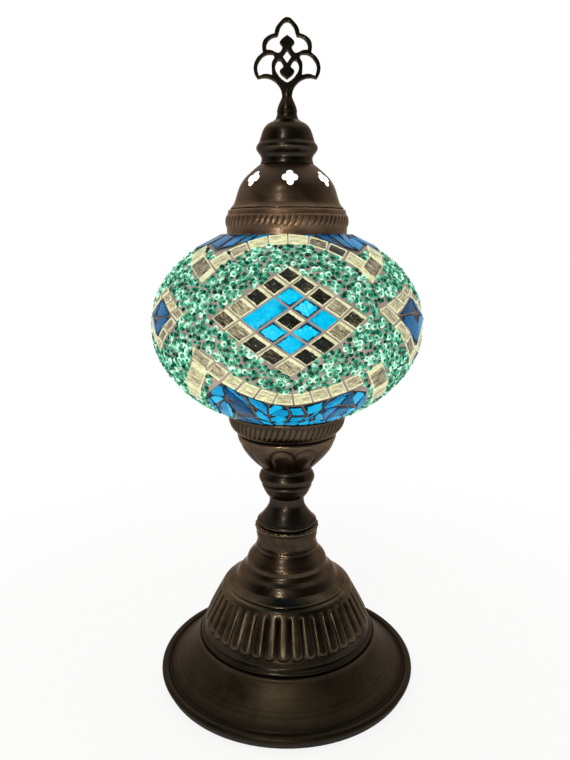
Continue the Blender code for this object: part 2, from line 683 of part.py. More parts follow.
def shell_point(shell, azimuth, latitude):
    """The point of an ellipsoid about the globe's centre, with azimuth 0 facing -Y."""
    radius = shell.x * math.cos(latitude)
    return Vector((radius * math.sin(azimuth), -radius * math.cos(azimuth), shell.y * math.sin(latitude)))


def shell_rows(limit, count):
    """Latitudes spread evenly from one mouth to the other."""
    return [limit * (2 * row / count - 1) for row in range(count + 1)]


def shell_ring(shell, latitude):
    turns = [math.tau * side / GLOBE_SIDES for side in range(GLOBE_SIDES)]
    return [shell_point(shell, turn, latitude) for turn in turns]


def glass_globe():
    outer = [shell_ring(GLASS_SHELL, latitude) for latitude in shell_rows(GLASS_LATITUDE, GLOBE_ROWS)]
    inner = [shell_ring(INSIDE_SHELL, latitude) for latitude in shell_rows(INSIDE_LATITUDE, GLOBE_ROWS)]
    add("glass_globe", lofted(outer + inner[::-1]), "clear_glass", GLOBE_CENTRE)


def globe_gasket():
    inside = LIP_RADIUS - GASKET_WIDTH
    points = tube_outline(LIP_RADIUS, inside, 0, GASKET_THICKNESS)
    add("globe_gasket", turned(points, STEM_SIDES), "rubber", GASKET_Z)


def diamond_tiles(centre, width, height, count):
    """Tiles of a diamond that is split into smaller diamonds, so many along each edge."""
    across = width / 2 / count
    up = height / 2 / count
    keep = 1 - GROUT_GAP / 2 * math.hypot(1 / across, 1 / up)
    corners = [Vector((-across, 0)), Vector((0, -up)), Vector((across, 0)), Vector((0, up))]
    for column in range(count):
        for row in range(count):
            middle = centre + Vector(((column - row) * across, (column + row + 1 - count) * up))
            yield [middle + corner * keep for corner in corners]


def arch_tiles(count, crown, spread, sag, power, depth):
    """A row of tiles along a curve that leaves its crown by the sag at each end of its spread."""

    def station(share, side):
        reach = share * (1 + TILE_CROWDING - TILE_CROWDING * abs(share))
        slope = math.copysign(power * sag * abs(reach) ** (power - 1), reach * sag)
        tilt = math.atan2(slope, spread)
        middle = Vector((spread * reach, crown + sag * abs(reach) ** power))
        return middle + Vector((-math.sin(tilt), math.cos(tilt))) * (side * depth / 2)

    gap = GROUT_GAP / 2 / spread
    for tile in range(count):
        start = 2 * tile / count - 1 + gap
        end = 2 * (tile + 1) / count - 1 - gap
        yield [station(start, -1), station(end, -1), station(end, 1), station(start, 1)]


def bar_tile(start, length, tilt, side):
    """The long tile that closes a corner of a panel, on its right for side 1 and its left for side -1."""
    along = Vector((math.cos(math.radians(tilt)), math.sin(math.radians(tilt))))
    across = Vector((-along.y, along.x)) * BAR_WIDTH / 2
    end = start + along * length
    corners = [start - across, end - across, end + across, start + across]
    return [Vector((side * corner.x, corner.y)) for corner in corners[::side]]


def mosaic_tiles():
    """The outline of every tile of one panel, as azimuths and latitudes in degrees."""
    arch_crown = math.degrees(MOSAIC_LATITUDE) - GROUT_GAP - ARCH_DEPTH / 2
    arch_end = Vector((ARCH_SPREAD, arch_crown - ARCH_SAG))
    swag_end = Vector((SWAG_SPREAD, SWAG_CROWN + SWAG_SAG))
    medallion = Vector((0, MEDALLION_CENTRE))
    tiles = list(diamond_tiles(medallion, MEDALLION_WIDTH, MEDALLION_HEIGHT, MEDALLION_TILES))
    tiles += arch_tiles(ARCH_TILES, arch_crown, ARCH_SPREAD, -ARCH_SAG, ARCH_POWER, ARCH_DEPTH)
    tiles += arch_tiles(SWAG_TILES, SWAG_CROWN, SWAG_SPREAD, SWAG_SAG, SWAG_POWER, SWAG_DEPTH)
    for side in (-1, 1):
        tiles.append(bar_tile(arch_end - Vector((0, BAR_STEP)), *UPPER_BAR, side))
        tiles.append(bar_tile(swag_end + Vector((BAR_STEP, 0)), *LOWER_BAR, side))
    tiles += diamond_tiles(Vector((180 / PANELS, SIDE_CENTRE)), SIDE_WIDTH, SIDE_HEIGHT, SIDE_TILES)
    return tiles


def clear_of(tiles, point):
    """Whether a point is outside every tile and keeps its distance from their edges."""
    for tile in tiles:
        if intersect_point_quad_2d(point, *tile):
            return False
        for start, end in zip(tile, tile[1:] + tile[:1]):
            share = intersect_point_line(point, start, end)[1]
            nearest = start.lerp(end, min(max(share, 0), 1))
            if (point - nearest).length < FIELD_CLEAR:
                return False
    return True


def bead_outline(middle):
    """A bead's outline about its azimuth and latitude."""
    wide = BEAD_SIZE / math.cos(math.radians(middle.y))
    turns = [math.tau * side / BEAD_SIDES for side in range(BEAD_SIDES)]
    return [middle + Vector((wide * math.cos(turn), BEAD_SIZE * math.sin(turn))) for turn in turns]


def flattened(point):
    """A point of azimuth and latitude in degrees, laid flat as seen from the globe's lower pole."""
    azimuth = math.radians(point.x)
    reach = math.tan(math.pi / 4 - math.radians(point.y) / 2)
    return Vector((reach * math.cos(azimuth), reach * math.sin(azimuth)))


def wrapped(shell, flat):
    """The point of a shell that was laid flat there."""
    return shell_point(shell, math.atan2(flat.y, flat.x), math.pi / 2 - 2 * math.atan(flat.length))


def mosaic_points(tiles):
    """All the points of the mosaic, those of its two edges first, with its tiles as lists of their numbers and
    the numbers of its beads' tops."""
    limit = math.degrees(MOSAIC_LATITUDE)
    points = []
    for end in (limit, -limit):
        points += [Vector((360 * side / GLOBE_SIDES, end)) for side in range(GLOBE_SIDES)]
    faces = []
    crowns = []
    rows = round(2 * limit / FIELD_STEP)
    panel_turn = Vector((360 / PANELS, 0))
    columns = round(panel_turn.x / FIELD_STEP)
    for panel in range(PANELS):
        turn = panel_turn * panel
        for row in range(1, rows):
            for column in range(columns):
                share = (column + row % 2 / 2) / columns - 0.5
                point = Vector((panel_turn.x * share, limit * (2 * row / rows - 1)))
                beside = (point - panel_turn, point, point + panel_turn)
                if not all(clear_of(tiles, spot) for spot in beside):
                    continue
                if (row + column) % 2:
                    points += [corner + turn for corner in bead_outline(point)]
                    crowns.append(len(points))
                points.append(point + turn)
        for tile in tiles:
            faces.append(list(range(len(points), len(points) + len(tile))))
            points += [corner + turn for corner in tile]
            if (tile[2] - tile[0]).length > FIELD_STEP:
                points.append(sum(tile, Vector((0, 0))) / len(tile) + turn)
    return points, faces, crowns


def mosaic_layer():
    """The grouted skin of the globe, with its tiles and beads standing proud of the grout. It is triangulated
    flat round its tiles, so that no seam cuts a tile, and then wrapped on the globe."""
    points, faces, crowns = mosaic_points(mosaic_tiles())
    mouth = [(side, (side + 1) % GLOBE_SIDES) for side in range(GLOBE_SIDES)]
    laid = delaunay_2d_cdt([flattened(point) for point in points], mouth, faces, 0, 1e-6)
    flat, triangles, origins, parts = laid[0], laid[2], laid[3], laid[5]

    bm = bmesh.new()
    verts = [bm.verts.new(wrapped(GROUT_SHELL, point)) for point in flat]
    placed = {origin: vert for vert, found in zip(verts, origins) for origin in found}
    rims = [[placed[end * GLOBE_SIDES + side] for side in range(GLOBE_SIDES)] for end in (0, 1)]
    tops = []
    for corners, part in zip(triangles, parts):
        corner_verts = [verts[corner] for corner in corners]
        if all(vert in rims[0] for vert in corner_verts):
            continue
        face = bm.faces.new(corner_verts)
        if part:
            tops.append(face)
    raised = bmesh.ops.extrude_face_region(bm, geom=tops)["geom"]
    bmesh.ops.delete(bm, geom=tops, context="FACES")
    lifted = [item for item in raised if isinstance(item, bmesh.types.BMVert)]
    lifted += [placed[crown] for crown in crowns]
    wide = TILE_SHELL.x / GROUT_SHELL.x
    bmesh.ops.scale(bm, verts=lifted, vec=(wide, wide, TILE_SHELL.y / GROUT_SHELL.y))

    latitudes = shell_rows(MOSAIC_LATITUDE, GLOBE_ROWS)[::-1]
    back = [[bm.verts.new(point) for point in shell_ring(BACK_SHELL, latitude)] for latitude in latitudes]
    rows = [rims[0], *back, rims[1]]
    for upper, lower in zip(rows, rows[1:]):
        skin(bm, upper, lower)
    add("mosaic_layer", bm, "mosaic", GLOBE_CENTRE)


def cap_collar(cap):
    """The pressed gadrooned collar under the cap, with a flat ring inside its top for the rivets."""
    inside = GADROON_FOURS
    plain = 2 * GADROON_FOURS
    edge = 4 * GADROON_FOURS
    step = LIP_RADIUS - 0.7 * MM
    crest = LIP_RADIUS + COLLAR_SWELL
    rings = [
        ring(step, COLLAR_HEIGHT, plain),
        ring(step, COLLAR_HEIGHT - 2.2 * MM, edge),
        *gadrooned(crest, COLLAR_HEIGHT - 3.4 * MM, crest, 5.6 * MM),
        ring(LIP_RADIUS, 3.6 * MM, edge),
        ring(LIP_RADIUS, 0, plain),
        ring(LIP_RADIUS - SHEET, 0, inside),
        ring(step - SHEET - GADROON_DEPTH, COLLAR_HEIGHT - SHEET, inside),
        ring(FLANGE_INSIDE, COLLAR_HEIGHT - SHEET, inside),
        ring(FLANGE_INSIDE, COLLAR_HEIGHT, inside),
    ]
    return add("cap_collar", lofted(rings), "antique_bronze", COLLAR_Z, cap)


def cap_dome_side(height):
    """Radius of the dome's ogee at a height above its foot."""
    share = height / CAP_DOME_HEIGHT
    top = BELL_WAIST + 0.8 * MM
    return top + (DOME_FOOT - DOME_FLARE - top) * (1 - share**2.4) + DOME_FLARE * math.exp(-9 * share)


def window_cutter(cap):
    """Four-lobed prisms that stand square to the dome's side."""
    bm = bmesh.new()
    points = 12
    corners = []
    for step in range(points):
        around = math.tau * step / points
        reach = WINDOW_RADIUS + WINDOW_LOBE * math.cos(4 * around)
        corners.append(Vector((reach * math.cos(around), reach * math.sin(around))))
    spot = Matrix.Translation((0, -cap_dome_side(WINDOW_HEIGHT), WINDOW_HEIGHT))
    tilt = Matrix.Rotation(math.radians(-WINDOW_TILT), 4, "X")
    for window in range(WINDOWS):
        turn = Matrix.Rotation(math.radians(WINDOW_TURN) + math.tau * window / WINDOWS, 4, "Z")
        prism(bm, corners, WINDOW_CUT, turn @ spot @ tilt)
    return add("window_cutter", bm, "antique_bronze", CAP_DOME_Z, cap)


def cap_dome(cap):
    """The pierced dome, closed on top by a plate that the finial's stud goes through."""

    def side(share, inset=0.0):
        height = CAP_DOME_HEIGHT * share
        return Vector((cap_dome_side(height) - inset, height))

    wall = [side(share) for share in (1, 0.88, 0.66, 0.36, 0.12, 0)]
    lining = [side(share, 1.3 * SHEET) for share in (0.12, 0.5, 0.84)]
    ceiling = CAP_DOME_HEIGHT - SHEET
    points = [
        Vector((STUD_HOLE, CAP_DOME_HEIGHT)),
        *wall,
        Vector((FLANGE_INSIDE, 0)),
        Vector((FLANGE_INSIDE, SHEET)),
        Vector((lining[0].x, SHEET)),
        *[point - Vector((0, SHEET / 2)) for point in lining],
        Vector((cap_dome_side(ceiling) - 2 * SHEET, ceiling)),
        Vector((STUD_HOLE, ceiling)),
    ]
    dome = add("cap_dome", turned(points, 3 * WINDOWS), "antique_bronze", CAP_DOME_Z, cap)
    cut(dome, window_cutter(cap))
    return dome


def cap_bell(cap):
    points = outline(
        (STUD_HOLE, BELL_HEIGHT),
        (FERRULE_RADIUS + 0.5 * MM, BELL_HEIGHT),
        (FERRULE_RADIUS + 1.8 * MM, BELL_HEIGHT - 1.2 * MM),
        (BELL_RADIUS - 1.9 * MM, BELL_HEIGHT - 12.6 * MM, 2.0 * MM),
        (BELL_RADIUS, BELL_HEIGHT - 16.0 * MM),
        (BELL_RADIUS - 0.4 * MM, BELL_HEIGHT - 18.2 * MM),
        (BELL_WAIST, BELL_HEIGHT - 21.6 * MM),
        (BELL_WAIST + 0.9 * MM, 0),
        (BELL_WAIST - SHEET, 0),
        (BELL_WAIST - SHEET, BELL_HEIGHT - 12.6 * MM),
        (FERRULE_RADIUS, BELL_HEIGHT - 3 * SHEET, 1.4 * MM),
        (STUD_HOLE, BELL_HEIGHT - SHEET),
    )
    add("cap_bell", turned(points, STEM_SIDES), "antique_bronze", BELL_Z, cap)


def smooth_loop(curve, corners):
    """A closed Bezier loop through points of x, height and bend: 1 at a smooth point, 0 at a corner."""
    spline = curve.splines.new("BEZIER")
    spline.use_cyclic_u = True
    spline.bezier_points.add(len(corners) - 1)
    for point, (x, height, bend) in zip(spline.bezier_points, corners):
        point.co = (x * MM, height * MM, 0)
        kind = "AUTO" if bend else "VECTOR"
        point.handle_left_type = kind
        point.handle_right_type = kind


def mirrored(half):
    """A loop from its right half, given from the top down."""
    left = [(-x, height, bend) for x, height, bend in reversed(half) if x > 0]
    return list(half) + left


def crest_openwork():
    """The flat crest of the finial: five lobes round two spades, a diamond and a heart, with heights above
    its foot."""
    curve = bpy.data.curves.new("crest", "CURVE")
    curve.dimensions = "2D"
    curve.fill_mode = "BOTH"
    curve.resolution_u = 2
    curve.extrude = CREST_THICKNESS / 2
    edge = [(0, 42.4, 1), (4.6, 39.4, 1), (6.8, 36.2, 1), (7.3, 33.9, 0), (10.9, 32.5, 1)]
    edge += [(13.7, 30.0, 1), (14.5, 26.6, 1), (14.1, 23.6, 0), (17.6, 20.5, 1), (19.5, 15.9, 1)]
    edge += [(19.0, 11.8, 1), (17.3, 9.0, 0), (13.1, 9.6, 1), (8.8, 8.5, 1), (5.3, 5.7, 1)]
    edge += [(3.4, 2.4, 1), (3.0, 0, 0)]
    arches = [(0, 39.9, 1), (3.5, 37.3, 1), (4.8, 34.0, 1), (5.5, 32.0, 0), (8.3, 31.4, 1)]
    arches += [(10.8, 29.6, 1), (12.1, 26.4, 1), (11.9, 25.0, 0), (8.9, 24.7, 1), (6.7, 23.7, 1)]
    arches += [(4.8, 23.4, 1), (3.0, 25.4, 1), (2.9, 26.8, 1), (4.3, 28.6, 1), (3.9, 29.8, 1), (0, 33.0, 0)]
    diamond = [(0, 24.4, 0), (2.5, 21.2, 0), (0, 17.9, 0)]
    heart = [(4.7, 19.0, 1), (6.5, 17.2, 1), (6.9, 15.0, 1), (5.6, 11.8, 1), (1.2, 7.7, 1), (0, 7.3, 1)]
    spade = [(0, 8.8, 0), (4.3, 13.1, 1), (3.9, 14.2, 1), (2.3, 15.7, 1), (2.8, 17.4, 1)]
    lobe = [(10.4, 22.4, 1), (7.6, 21.6, 1), (8.9, 17.9, 1), (9.0, 14.8, 1), (8.8, 11.4, 0)]
    lobe += [(12.9, 11.9, 1), (16.4, 10.8, 0), (17.2, 13.4, 1), (17.3, 16.0, 1), (15.4, 19.6, 1)]
    lobe += [(13.2, 21.6, 1)]
    smooth_loop(curve, mirrored(edge))
    smooth_loop(curve, mirrored(arches))
    smooth_loop(curve, mirrored(diamond))
    left_spade = [(-x, height, bend) for x, height, bend in spade[1:]]
    left_heart = [(-x, height, bend) for x, height, bend in heart[:-1]]
    smooth_loop(curve, heart + left_heart[::-1] + left_spade[::-1] + spade)
    smooth_loop(curve, lobe)
    smooth_loop(curve, [(-x, height, bend) for x, height, bend in lobe[::-1]])
    guide = bpy.data.objects.new("crest_guide", curve)
    bpy.context.collection.objects.link(guide)
    bpy.context.view_layer.update()
    bm = bmesh.new()
    bm.from_mesh(guide.to_mesh())
    guide.to_mesh_clear()
    bpy.data.objects.remove(guide)
    bm.transform(Matrix.Rotation(math.pi / 2, 4, "X"))
    return bm


def finial(cap):
    """One casting: a turned ferrule whose stem runs up into the crest."""
    points = outline(
        (0, FERRULE_HEIGHT),
        (1.5 * MM, FERRULE_HEIGHT - 1.0 * MM),
        (3.0 * MM, CREST_FOOT),
        (4.0 * MM, FERRULE_HEIGHT - 8.6 * MM),
        (FERRULE_RADIUS - 0.8 * MM, FERRULE_HEIGHT - 13.0 * MM, 0.3 * MM),
        (FERRULE_RADIUS - 0.9 * MM, FERRULE_HEIGHT - 16.0 * MM),
        (FERRULE_RADIUS, 0.6 * MM, -0.1 * MM),
        (FERRULE_RADIUS, 0),
        (STUD_HOLE, 0),
        (STUD_HOLE, STUD_GRIP + SEAT),
        (0, STUD_GRIP + SEAT),
    )
    made = add("finial", turned(points, SMALL_SIDES), "antique_bronze", FINIAL_Z, cap)
    crest = add("crest", crest_openwork(), "antique_bronze", FINIAL_Z + CREST_FOOT, cap)
    cut(made, crest, "UNION")


def finial_fixing(cap):
    """The stud that draws the finial, the bell and the dome together, with its washer and nut."""
    plate = CAP_DOME_Z + CAP_DOME_HEIGHT - SHEET
    washer_z = plate - SEAT - WASHER_THICKNESS
    nut_z = washer_z - SEAT - STUD_NUT_HEIGHT
    bottom = nut_z - STUD_TAIL
    top = FINIAL_Z + STUD_GRIP
    stud = outline((0, top - bottom), (STUD_RADIUS, top - bottom), (STUD_RADIUS, 0), (0, 0))
    add("finial_stud", turned(stud, 12), "steel", bottom, cap)
    washer("finial_washer", STUD_WASHER_RADIUS, STUD_HOLE, WASHER_THICKNESS, "steel", washer_z, cap)
    hex_nut("finial_nut", STUD_NUT_ACROSS_FLATS, STUD_HOLE, STUD_NUT_HEIGHT, "brass", nut_z, cap)


def strip(points, thickness):
    """A closed outline round a bent strip whose one face follows the points."""
    back = []
    for index, point in enumerate(points):
        before = points[max(index - 1, 0)]
        after = points[min(index + 1, len(points) - 1)]
        along = (after - before).normalized()
        back.append(point + Vector((-along.y, along.x)) * -thickness)
    return points + back[::-1]


def clip_turn(index):
    return Matrix.Rotation(math.tau * (index + 0.25) / CLIPS, 4, "Z")


def rivet_drill():
    """The rivets' holes through the dome, the collar and the clips."""
    bm = bmesh.new()
    size = dict(segments=RIVET_SIDES, radius1=RIVET_HOLE, radius2=RIVET_HOLE, depth=8 * SHEET)
    spot = Matrix.Translation((RIVET_CIRCLE, 0, COLLAR_Z + COLLAR_HEIGHT))
    for index in range(CLIPS):
        bmesh.ops.create_cone(bm, cap_ends=True, matrix=clip_turn(index) @ spot, **size)
    return add("rivet_drill", bm, "steel")


def clips(cap, collar, dome):
    """Spring clips that hold the cap in the globe's mouth, each with the rivet that joins the clip, the
    collar and the dome."""
    underside = COLLAR_Z + COLLAR_HEIGHT - SHEET - SEAT
    reach = INSIDE_MOUTH - CLIP_PLAY
    rim = COLLAR_Z - underside
    path = outline(
        (FLANGE_INSIDE, 0),
        (reach - 2.0 * MM, 0),
        (reach, -2.0 * MM, 0.4 * MM),
        (reach, rim - 1.0 * MM),
        (reach - 2.2 * MM, rim - CLIP_REACH, 0.2 * MM),
    )
    head = COLLAR_Z + COLLAR_HEIGHT + SEAT + SHEET + SEAT
    tail = underside - CLIP_THICKNESS - SEAT
    rivet = outline(
        (0, head + RIVET_HEAD_HEIGHT),
        (RIVET_RADIUS, head + RIVET_HEAD_HEIGHT),
        (RIVET_HEAD_RADIUS, head),
        (RIVET_RADIUS, head),
        (RIVET_RADIUS, tail),
        (RIVET_HEAD_RADIUS, tail),
        (RIVET_RADIUS, tail - RIVET_HEAD_HEIGHT),
        (0, tail - RIVET_HEAD_HEIGHT),
    )
    drill = rivet_drill()
    cut(collar, drill)
    cut(dome, drill)
    for index in range(CLIPS):
        leaf = bmesh.new()
        place = clip_turn(index) @ Matrix.Translation((0, 0, underside))
        prism(leaf, strip(path, CLIP_THICKNESS), CLIP_WIDTH, place)
        cut(add(f"cap_clip_{index + 1}", leaf, "brass", 0, cap), drill)
        pin = turned(rivet, RIVET_SIDES)
        pin.transform(clip_turn(index) @ Matrix.Translation((RIVET_CIRCLE, 0, 0)))
        add(f"clip_rivet_{index + 1}", pin, "brass", 0, cap)


def main():
    for old in list(bpy.data.objects):
        bpy.data.objects.remove(old)
    felt_pad()
    base_dish()
    cord_grommet()
    fluted_dome()
    stepped_shoulder()
    stem_drum()
    stem_trumpet()
    stem_knop()
    petal_cup()
    lower_gallery()
    central_tube()
    bulb(lamp_holder())
    globe_gasket()
    glass_globe()
    mosaic_layer()
    cap = axis("cap_lift", COLLAR_Z)
    collar = cap_collar(cap)
    dome = cap_dome(cap)
    cap_bell(cap)
    finial(cap)
    finial_fixing(cap)
    clips(cap, collar, dome)


main()
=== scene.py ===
import json
import math
import random

import bmesh
import bpy
from mathutils import Matrix, Vector
from mathutils.geometry import interpolate_bezier


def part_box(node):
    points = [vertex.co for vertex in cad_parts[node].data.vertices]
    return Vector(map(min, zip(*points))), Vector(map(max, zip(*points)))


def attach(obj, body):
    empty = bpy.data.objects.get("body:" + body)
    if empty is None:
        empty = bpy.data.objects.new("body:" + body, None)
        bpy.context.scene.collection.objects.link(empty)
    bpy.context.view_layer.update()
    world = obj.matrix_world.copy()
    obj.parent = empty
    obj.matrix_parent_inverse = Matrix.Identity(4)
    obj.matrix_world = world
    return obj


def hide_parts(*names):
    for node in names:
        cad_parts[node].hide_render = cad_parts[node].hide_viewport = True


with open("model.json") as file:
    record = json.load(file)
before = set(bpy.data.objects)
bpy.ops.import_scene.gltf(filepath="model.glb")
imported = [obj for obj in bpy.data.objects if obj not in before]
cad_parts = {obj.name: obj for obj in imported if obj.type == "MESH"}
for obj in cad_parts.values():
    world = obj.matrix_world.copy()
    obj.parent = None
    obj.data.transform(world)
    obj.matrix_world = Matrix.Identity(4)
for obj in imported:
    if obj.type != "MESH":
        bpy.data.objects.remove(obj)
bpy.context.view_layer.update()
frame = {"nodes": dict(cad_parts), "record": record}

MM = 0.001


def line(*stations):
    """Stations of radius and height, or of azimuth and latitude."""
    return [Vector(station) for station in stations]


# Photograph's camera, in pixels, metres and degrees, with its sensor in millimetres
PHOTO_HEIGHT = 760
FOCAL_PIXELS = 680
CAMERA_PLACE = (-0.0012, -0.427, 0.293)
CAMERA_PITCH = 12.0
SENSOR = 36.0

# Metal, in millimetres and degrees
SHEET = 1.2
THIN_SHEET = 0.9
TUBE_BORE = 5.3
STUD_BORE = 2.8
CORD_HOLE_RADIUS = 4.55
CORD_HOLE_TILT = -46
FLUTES = 40
FLUTE_DEPTH = 1.8
FLUTE_TURN = 2.1
FLUTE_FOOT = 30.2
FLUTE_CHANGE = 44  # above this height the feet of the tongues give way to the channels
CHANNEL_TOP = 62.4
TONGUE_FOOT = 36.6
CRIMPS = 30
CRIMP_FOOT = 102.2
PETALS = 12
PETAL_TURN = -6.0
PETAL_MIDDLE = 154.2
PETAL_REACH = 9.2
GADROONS = 64
GADROON_DEPTH = 0.6
GADROON_SLANT = -0.75
WINDOWS = 7
WINDOW_TURN = 3.5
WINDOW_RADIUS = 26.6
WINDOW_HEIGHT = 325.8
WINDOW_TILT = 36.0
LINING_FOOT = 309.7
CREST_THICKNESS = 3.2
CREST_FOOT = 13.0  # over the foot of the finial

# Globe, in millimetres, and its mosaic, in degrees of azimuth and latitude
GLOBE_MIDDLE = sum(corner.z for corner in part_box("glass_globe")) / 2 / MM
GROUT_SHELL = (83.4, 61.9)
GROUT_THICKNESS = 1.5
GLASS_SHELL = (81.6, 60.1)
GLASS_WALL = 1.8
MOUTH_RADIUS = 37.2
MOSAIC_LATITUDE = 62.5
TILE_PROUD = 0.5
TILE_SUNK = 0.5
PANELS = 3
PANEL_TURN = 360 / PANELS
GROUT_GAP = 0.9
MEDALLION_CENTRE = Vector((1, 11.2))
MEDALLION_HALF = Vector((30.4, 28))
MEDALLION_TILES = 5
ARCH = dict(crown=58.0, left=Vector((-39, -20)), right=Vector((40, -20.5)), power=2.5, depth=8.6)
ARCH_TILES = 8
SWAG = dict(crown=-31.0, left=Vector((-36, 24)), right=Vector((31, 11.5)), power=1.7, depth=7.6)
SWAG_TILES = 10
SWAG_END_PULL = Vector((-4.5, 1.5))  # how far the upper corner of a swag's first tile is drawn out
UPPER_BAR = dict(start=Vector((36.9, 31.6)), length=32.0, tilt=30.5)
SHORT_BAR = dict(UPPER_BAR, length=23.0)
LOWER_BAR = dict(start=Vector((35.4, -13.6)), length=29.0, tilt=-54.0)
BAR_WIDTH = 8.0
# Lower, right, upper and left corner of the diamond to the right of each panel
SIDE_DIAMONDS = [line((64, -19.5), (87.5, 7), (63, 25.5), (36.5, 15)),
                 line((60, -9.5), (82, 8), (60, 25.5), (38, 8)),
                 line((57, -11), (77.5, 12), (57, 24.5), (34.5, 8))]
SIDE_TILES = 3
SIDE_BORDER = 0.2
BLUE_LIMIT = math.degrees(math.acos(38.9 / 84.0))  # where the blue glass ends, above and below
APRON_HALF = 47  # half of the width of the blue glass under a swag

# Beads, in millimetres, with their distance from the tiles and from the mosaic's ends in degrees
BEAD_RADIUS = 1.95
BEAD_SPACING = 3.2
BEAD_ROW = 0.87  # distance of the rows, as a share of the spacing
BEAD_SHAKE = 0.27  # how far a bead is moved out of its row, as a share of the spacing
BEAD_MARGIN = 0.5
BEAD_EDGE = 1.6
BEAD_SUNK = 1.3  # how deep the backs of the beads sit in the grout
UPRIGHT_SHARE = 0.42
UPRIGHT_LIFT = -0.3
FLAT_LIFT = -0.8


class Value:
    """A number that varies over a surface. Sums and products of values add Math nodes."""

    def __init__(self, socket):
        self.socket = socket

    def math(self, operation, *terms):
        tree = self.socket.id_data
        node = tree.nodes.new("ShaderNodeMath")
        node.operation = operation
        for slot, term in zip(node.inputs, terms):
            if isinstance(term, Value):
                tree.links.new(term.socket, slot)
            else:
                slot.default_value = term
        return Value(node.outputs[0])

    def __add__(self, other):
        return self.math("ADD", self, other)

    def __radd__(self, other):
        return self.math("ADD", other, self)

    def __sub__(self, other):
        return self.math("SUBTRACT", self, other)

    def __rsub__(self, other):
        return self.math("SUBTRACT", other, self)

    def __mul__(self, other):
        return self.math("MULTIPLY", self, other)

    def __rmul__(self, other):
        return self.math("MULTIPLY", other, self)

    def __abs__(self):
        return self.math("ABSOLUTE", self)

    def larger(self, other):
        return self.math("MAXIMUM", self, other)

    def smaller(self, other):
        return self.math("MINIMUM", self, other)


class Nodes:
    """The node tree of a material or world under construction."""

    def __init__(self, owner):
        owner.use_nodes = True
        self.tree = owner.node_tree

    def node(self, kind, settings, inputs, output=None):
        """Adds a node of a kind, with its settings and the values or links of its sockets. Gives one output."""
        made = self.tree.nodes.new(kind)
        for name, setting in settings.items():
            if name == "stops":
                self.set_stops(made.color_ramp.elements, setting)
            else:
                setattr(made, name, setting)
        for name, value in inputs.items():
            slot = next(slot for slot in made.inputs if name in (slot.identifier, slot.name))
            self.feed(slot, value)
        if output:
            return Value(next(slot for slot in made.outputs if output in (slot.identifier, slot.name)))

    def set_stops(self, elements, stops):
        while len(elements) < len(stops):
            elements.new(1.0)
        for element, (position, colour) in zip(elements, stops):
            element.position = position
            element.color = (*colour, 1)

    def feed(self, slot, value):
        if isinstance(value, Value):
            self.tree.links.new(value.socket, slot)
        elif slot.type == "RGBA":
            slot.default_value = (*value, 1)
        else:
            slot.default_value = value

    def place(self):
        return self.node("ShaderNodeTexCoord", {}, {}, "Object")

    def attribute(self, name):
        return self.node("ShaderNodeAttribute", {"attribute_name": name}, {}, "Fac")

    def parts(self, vector):
        """The three numbers of a vector."""
        return [self.node("ShaderNodeSeparateXYZ", {}, {"Vector": vector}, axis) for axis in "XYZ"]

    def joined(self, x, y, z):
        return self.node("ShaderNodeCombineXYZ", {}, {"X": x, "Y": y, "Z": z}, "Vector")

    def noise(self, vector, scale, detail=3.0, roughness=0.55, distortion=0.0):
        settings = {"Scale": scale, "Detail": detail, "Roughness": roughness, "Distortion": distortion}
        return self.node("ShaderNodeTexNoise", {}, {"Vector": vector, **settings}, "Fac")

    def between(self, value, low, high, least=0.0):
        """The least where the value is below low, 1 where it is above high, with an easy step between them."""
        inputs = {"Value": value, "From Min": low, "From Max": high, "To Min": least}
        return self.node("ShaderNodeMapRange", {"interpolation_type": "SMOOTHSTEP"}, inputs, "Result")

    def mix(self, share, first, second, blend="MIX"):
        settings = {"data_type": "RGBA", "blend_type": blend}
        inputs = {"Factor_Float": share, "A_Color": first, "B_Color": second}
        return self.node("ShaderNodeMix", settings, inputs, "Result_Color")

    def ramp(self, value, stops):
        return self.node("ShaderNodeValToRGB", {"stops": stops}, {"Fac": value}, "Color")

    def bump(self, height, strength, distance):
        inputs = {"Height": height, "Strength": strength, "Distance": distance}
        return self.node("ShaderNodeBump", {}, inputs, "Normal")


class Backdrop(Nodes):
    """The node tree of the room or its floor, built from nothing."""

    def __init__(self, owner):
        super().__init__(owner)
        self.tree.nodes.clear()

    def ray(self, kind):
        return self.node("ShaderNodeLightPath", {}, {}, f"Is {kind} Ray")

    def done(self, kind, share, first, second):
        """Ends the tree in an output of this kind that shows the share of the second shader over the first."""
        inputs = {"Fac": share, "Shader": first, "Shader_001": second}
        surface = self.node("ShaderNodeMixShader", {}, inputs, "Shader")
        self.node(kind, {}, {"Surface": surface})


class Finish(Nodes):
    """A material under construction, whose last step joins values to its shader's sockets."""

    def __init__(self, name):
        self.material = bpy.data.materials.new(name)
        super().__init__(self.material)
        self.shader = self.tree.nodes["Principled BSDF"]

    def done(self, **sockets):
        """The material, with the shader's sockets set. Their names have _ for each space."""
        for name, value in sockets.items():
            self.feed(self.shader.inputs[name.replace("_", " ")], value)
        return self.material


def darker(colour, share):
    return tuple(share * part for part in colour)


